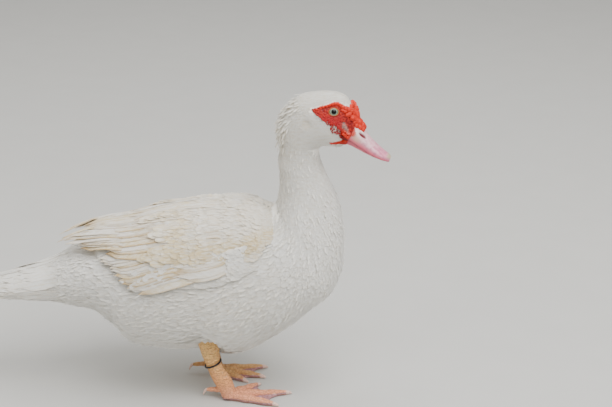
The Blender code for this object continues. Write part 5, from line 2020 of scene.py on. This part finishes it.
class ThighCuff:
    """The short feathers that hang over the top of a leg, as a soft ragged cuff."""

    feathers = 30
    spread = 2.0
    root_stand, tip_stand = 0.0045, 0.0016
    root_z, drop = 0.0985, 0.0180
    half_width = 0.0040

    def __init__(self, material: Material) -> None:
        """Seeds the cuffs' draws."""
        self.material = material
        self.rng = np.random.default_rng(SEED + 5)
        self.maker = LongFeather(self.rng)

    def build(self, shape: LegShape) -> Piece:
        """Makes one leg's cuff, on the side of the leg that looks away from the body."""
        batch, top = Batch(), shape.stops[0]
        share = np.linspace(0, 1, LongFeather.stations)
        uv = FLESH.unwrap(np.array([9.5]), np.radians([140.0 * shape.side.value]))[0]
        for turn in np.linspace(-self.spread, self.spread, self.feathers):
            jitter = self.rng.uniform(-1, 1, 3)
            stand = self.root_stand + (self.tip_stand + 0.0005 * jitter[0] - self.root_stand) * share
            angle = turn + 0.12 * jitter[1] * share
            x = top.x + (top.along + stand) * np.sin(angle) + 0.0010 * share
            y = top.y - shape.side.value * (top.across + stand) * np.cos(angle)
            z = self.root_z - (self.drop + 0.0020 * jitter[2]) * share
            out = -shape.side.value * np.cos(angle)
            ups = np.stack([np.sin(angle), out, np.full(len(share), 0.15)], axis=1)
            self.maker.add(batch, np.stack([x, y, z], axis=1), unit(ups), self.half_width, uv, 0.10, 0.05)
        return batch.build(f"thigh_cuff_{shape.side.word}", self.material)


@dataclass
class Band:
    """The loose black ring on the right leg."""

    major, minor = 0.0099, 0.0011

    material: Material

    def build(self) -> Piece:
        """Makes the ring square to the shank."""
        here, below = RIGHT_LEG.stops[3], RIGHT_LEG.stops[4]
        centre = Vector((here.x, here.y, here.z))
        axis = (centre - Vector((below.x, below.y, below.z))).normalized()
        turn = np.array(axis.to_track_quat("Z", "Y").to_matrix())
        around, across = 72, 16
        a, b = grid_of(full_turn(around), full_turn(across))
        reach = self.major + self.minor * np.cos(b)
        local = np.stack([reach * np.cos(a), reach * np.sin(a), self.minor * np.sin(b)], axis=1)
        faces = grid_faces(around + 1, across, True) % (around * across)
        return mesh_piece("leg_band_ring", local @ turn.T + np.array(centre), faces, self.material)


class Studio:
    """The floor, the lights and the camera."""

    def build(self) -> None:
        """Sets up the plain studio round the bird."""
        far, level = 6.0, -0.0003
        corners = [(x * far, y * far, level) for x, y in ((-1, -1), (1, -1), (1, 1), (-1, 1))]
        floor = STUDIO_FLOOR.build("studio_floor")
        mesh_piece("studio_floor", np.array(corners), [(0, 1, 2, 3)], floor, smooth=False)
        self._light("key_light", (0.9, -1.1, 2.3), 124, 2.4)
        self._light("fill_light", (-1.6, -1.2, 1.3), 12, 1.8)
        self._light("top_light", (-0.2, 0.9, 2.4), 34, 2.0)
        world = bpy.data.worlds.new("soft_sky")
        world.use_nodes = True
        background = world.node_tree.nodes["Background"]
        background.inputs["Color"].default_value = colour("ECEBE6")
        background.inputs["Strength"].default_value = 0.46
        bpy.context.scene.world = world
        self._camera()

    def _light(self, name: str, place: tuple[float, float, float], power: float, size: float) -> None:
        """Adds a soft square light that faces the bird."""
        light = bpy.data.lights.new(name, "AREA")
        light.energy, light.size = power, size
        lamp = bpy.data.objects.new(name, light)
        lamp.location = place
        lamp.rotation_euler = (Vector((0.03, 0, 0.17)) - Vector(place)).to_track_quat("-Z", "Y").to_euler()
        bpy.context.scene.collection.objects.link(lamp)

    def _camera(self) -> None:
        """Adds the camera at the photograph's angle and framing."""
        data = bpy.data.cameras.new("camera")
        data.lens, data.sensor_width = 100.0, 36.0
        camera = bpy.data.objects.new("camera", data)
        camera.location = (0.155, -1.88, 0.917)
        camera.rotation_euler = (math.radians(70), 0, 0)
        bpy.context.scene.collection.objects.link(camera)
        bpy.context.scene.camera = camera


def seat(piece: Piece, slot: str, *nodes: str) -> None:
    """Lets a piece ride on the bird and hides the solids that it stands for."""
    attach(piece, ROOT_BODY)
    if nodes:
        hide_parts(*nodes)
    LOG.info("%s: %d faces", piece.name, len(piece.data.polygons))


def main() -> None:
    """Builds every piece in order."""
    logging.basicConfig(level=logging.INFO, format="%(message)s")
    body_finish = PlumageFinish().build("white_body_plumage", shaft=False)
    quill_finish = PlumageFinish().build("white_flight_plumage", shaft=True)
    red = RedSkinFinish().build("red_caruncle_skin")

    skin = Skin()
    skin_piece = skin.build(body_finish)
    for piece in Plumage(skin, body_finish).build(skin_piece):
        seat(piece, "white_plumage")
    seat(skin_piece, "white_plumage", "torso", "neck", "head")

    wings = Wings(quill_finish)
    for side in Side:
        seat(wings.build(side), "cream_quills", f"wing_{side.word}")
    seat(Tail(quill_finish).build(), "cream_quills", "tail")

    eye_finish = EyeFinish().build("wet_eye")
    lid_finish = RedSkinFinish(bulb="A8431C", pale="A98C4C").build("eyelid_skin")
    for side in Side:
        seat(Face(side, red).build(), "red_caruncle", f"face_{side.word}")
        ball, lids = Eye(side, eye_finish, lid_finish).build()
        seat(ball, "grey_eye", f"eye_{side.word}")
        seat(lids, "red_caruncle")
        seat(Chin(red).build(side), "red_caruncle")
    seat(Knob(red).build(), "red_caruncle", "bill_knob")
    upper, lower = Bill(BillFinish().build("pink_bill_horn")).build()
    seat(upper, "pink_bill", "bill_upper")
    seat(lower, "pink_bill", "bill_lower")

    leg_skin, horn = LegFinish().build("scaly_leg_skin"), CLAW_HORN.build("claw_horn")
    for shape in (RIGHT_LEG, LEFT_LEG):
        word = shape.side.word
        leg, outer, middle, inner, hallux = Leg(shape, leg_skin, horn).build()
        seat(leg, "orange_leg", f"leg_{word}", f"foot_{word}")
        for name, piece in (("outer", outer), ("middle", middle), ("inner", inner), ("hallux", hallux)):
            seat(piece, "pale_claw", f"claw_{name}_{word}")
    cuff = ThighCuff(body_finish)
    for shape in (RIGHT_LEG, LEFT_LEG):
        seat(cuff.build(shape), "white_plumage")
    seat(Band(BAND_PLASTIC.build("band_plastic")).build(), "black_band", "leg_band")

    Studio().build()


if __name__ == "__main__":
    main()
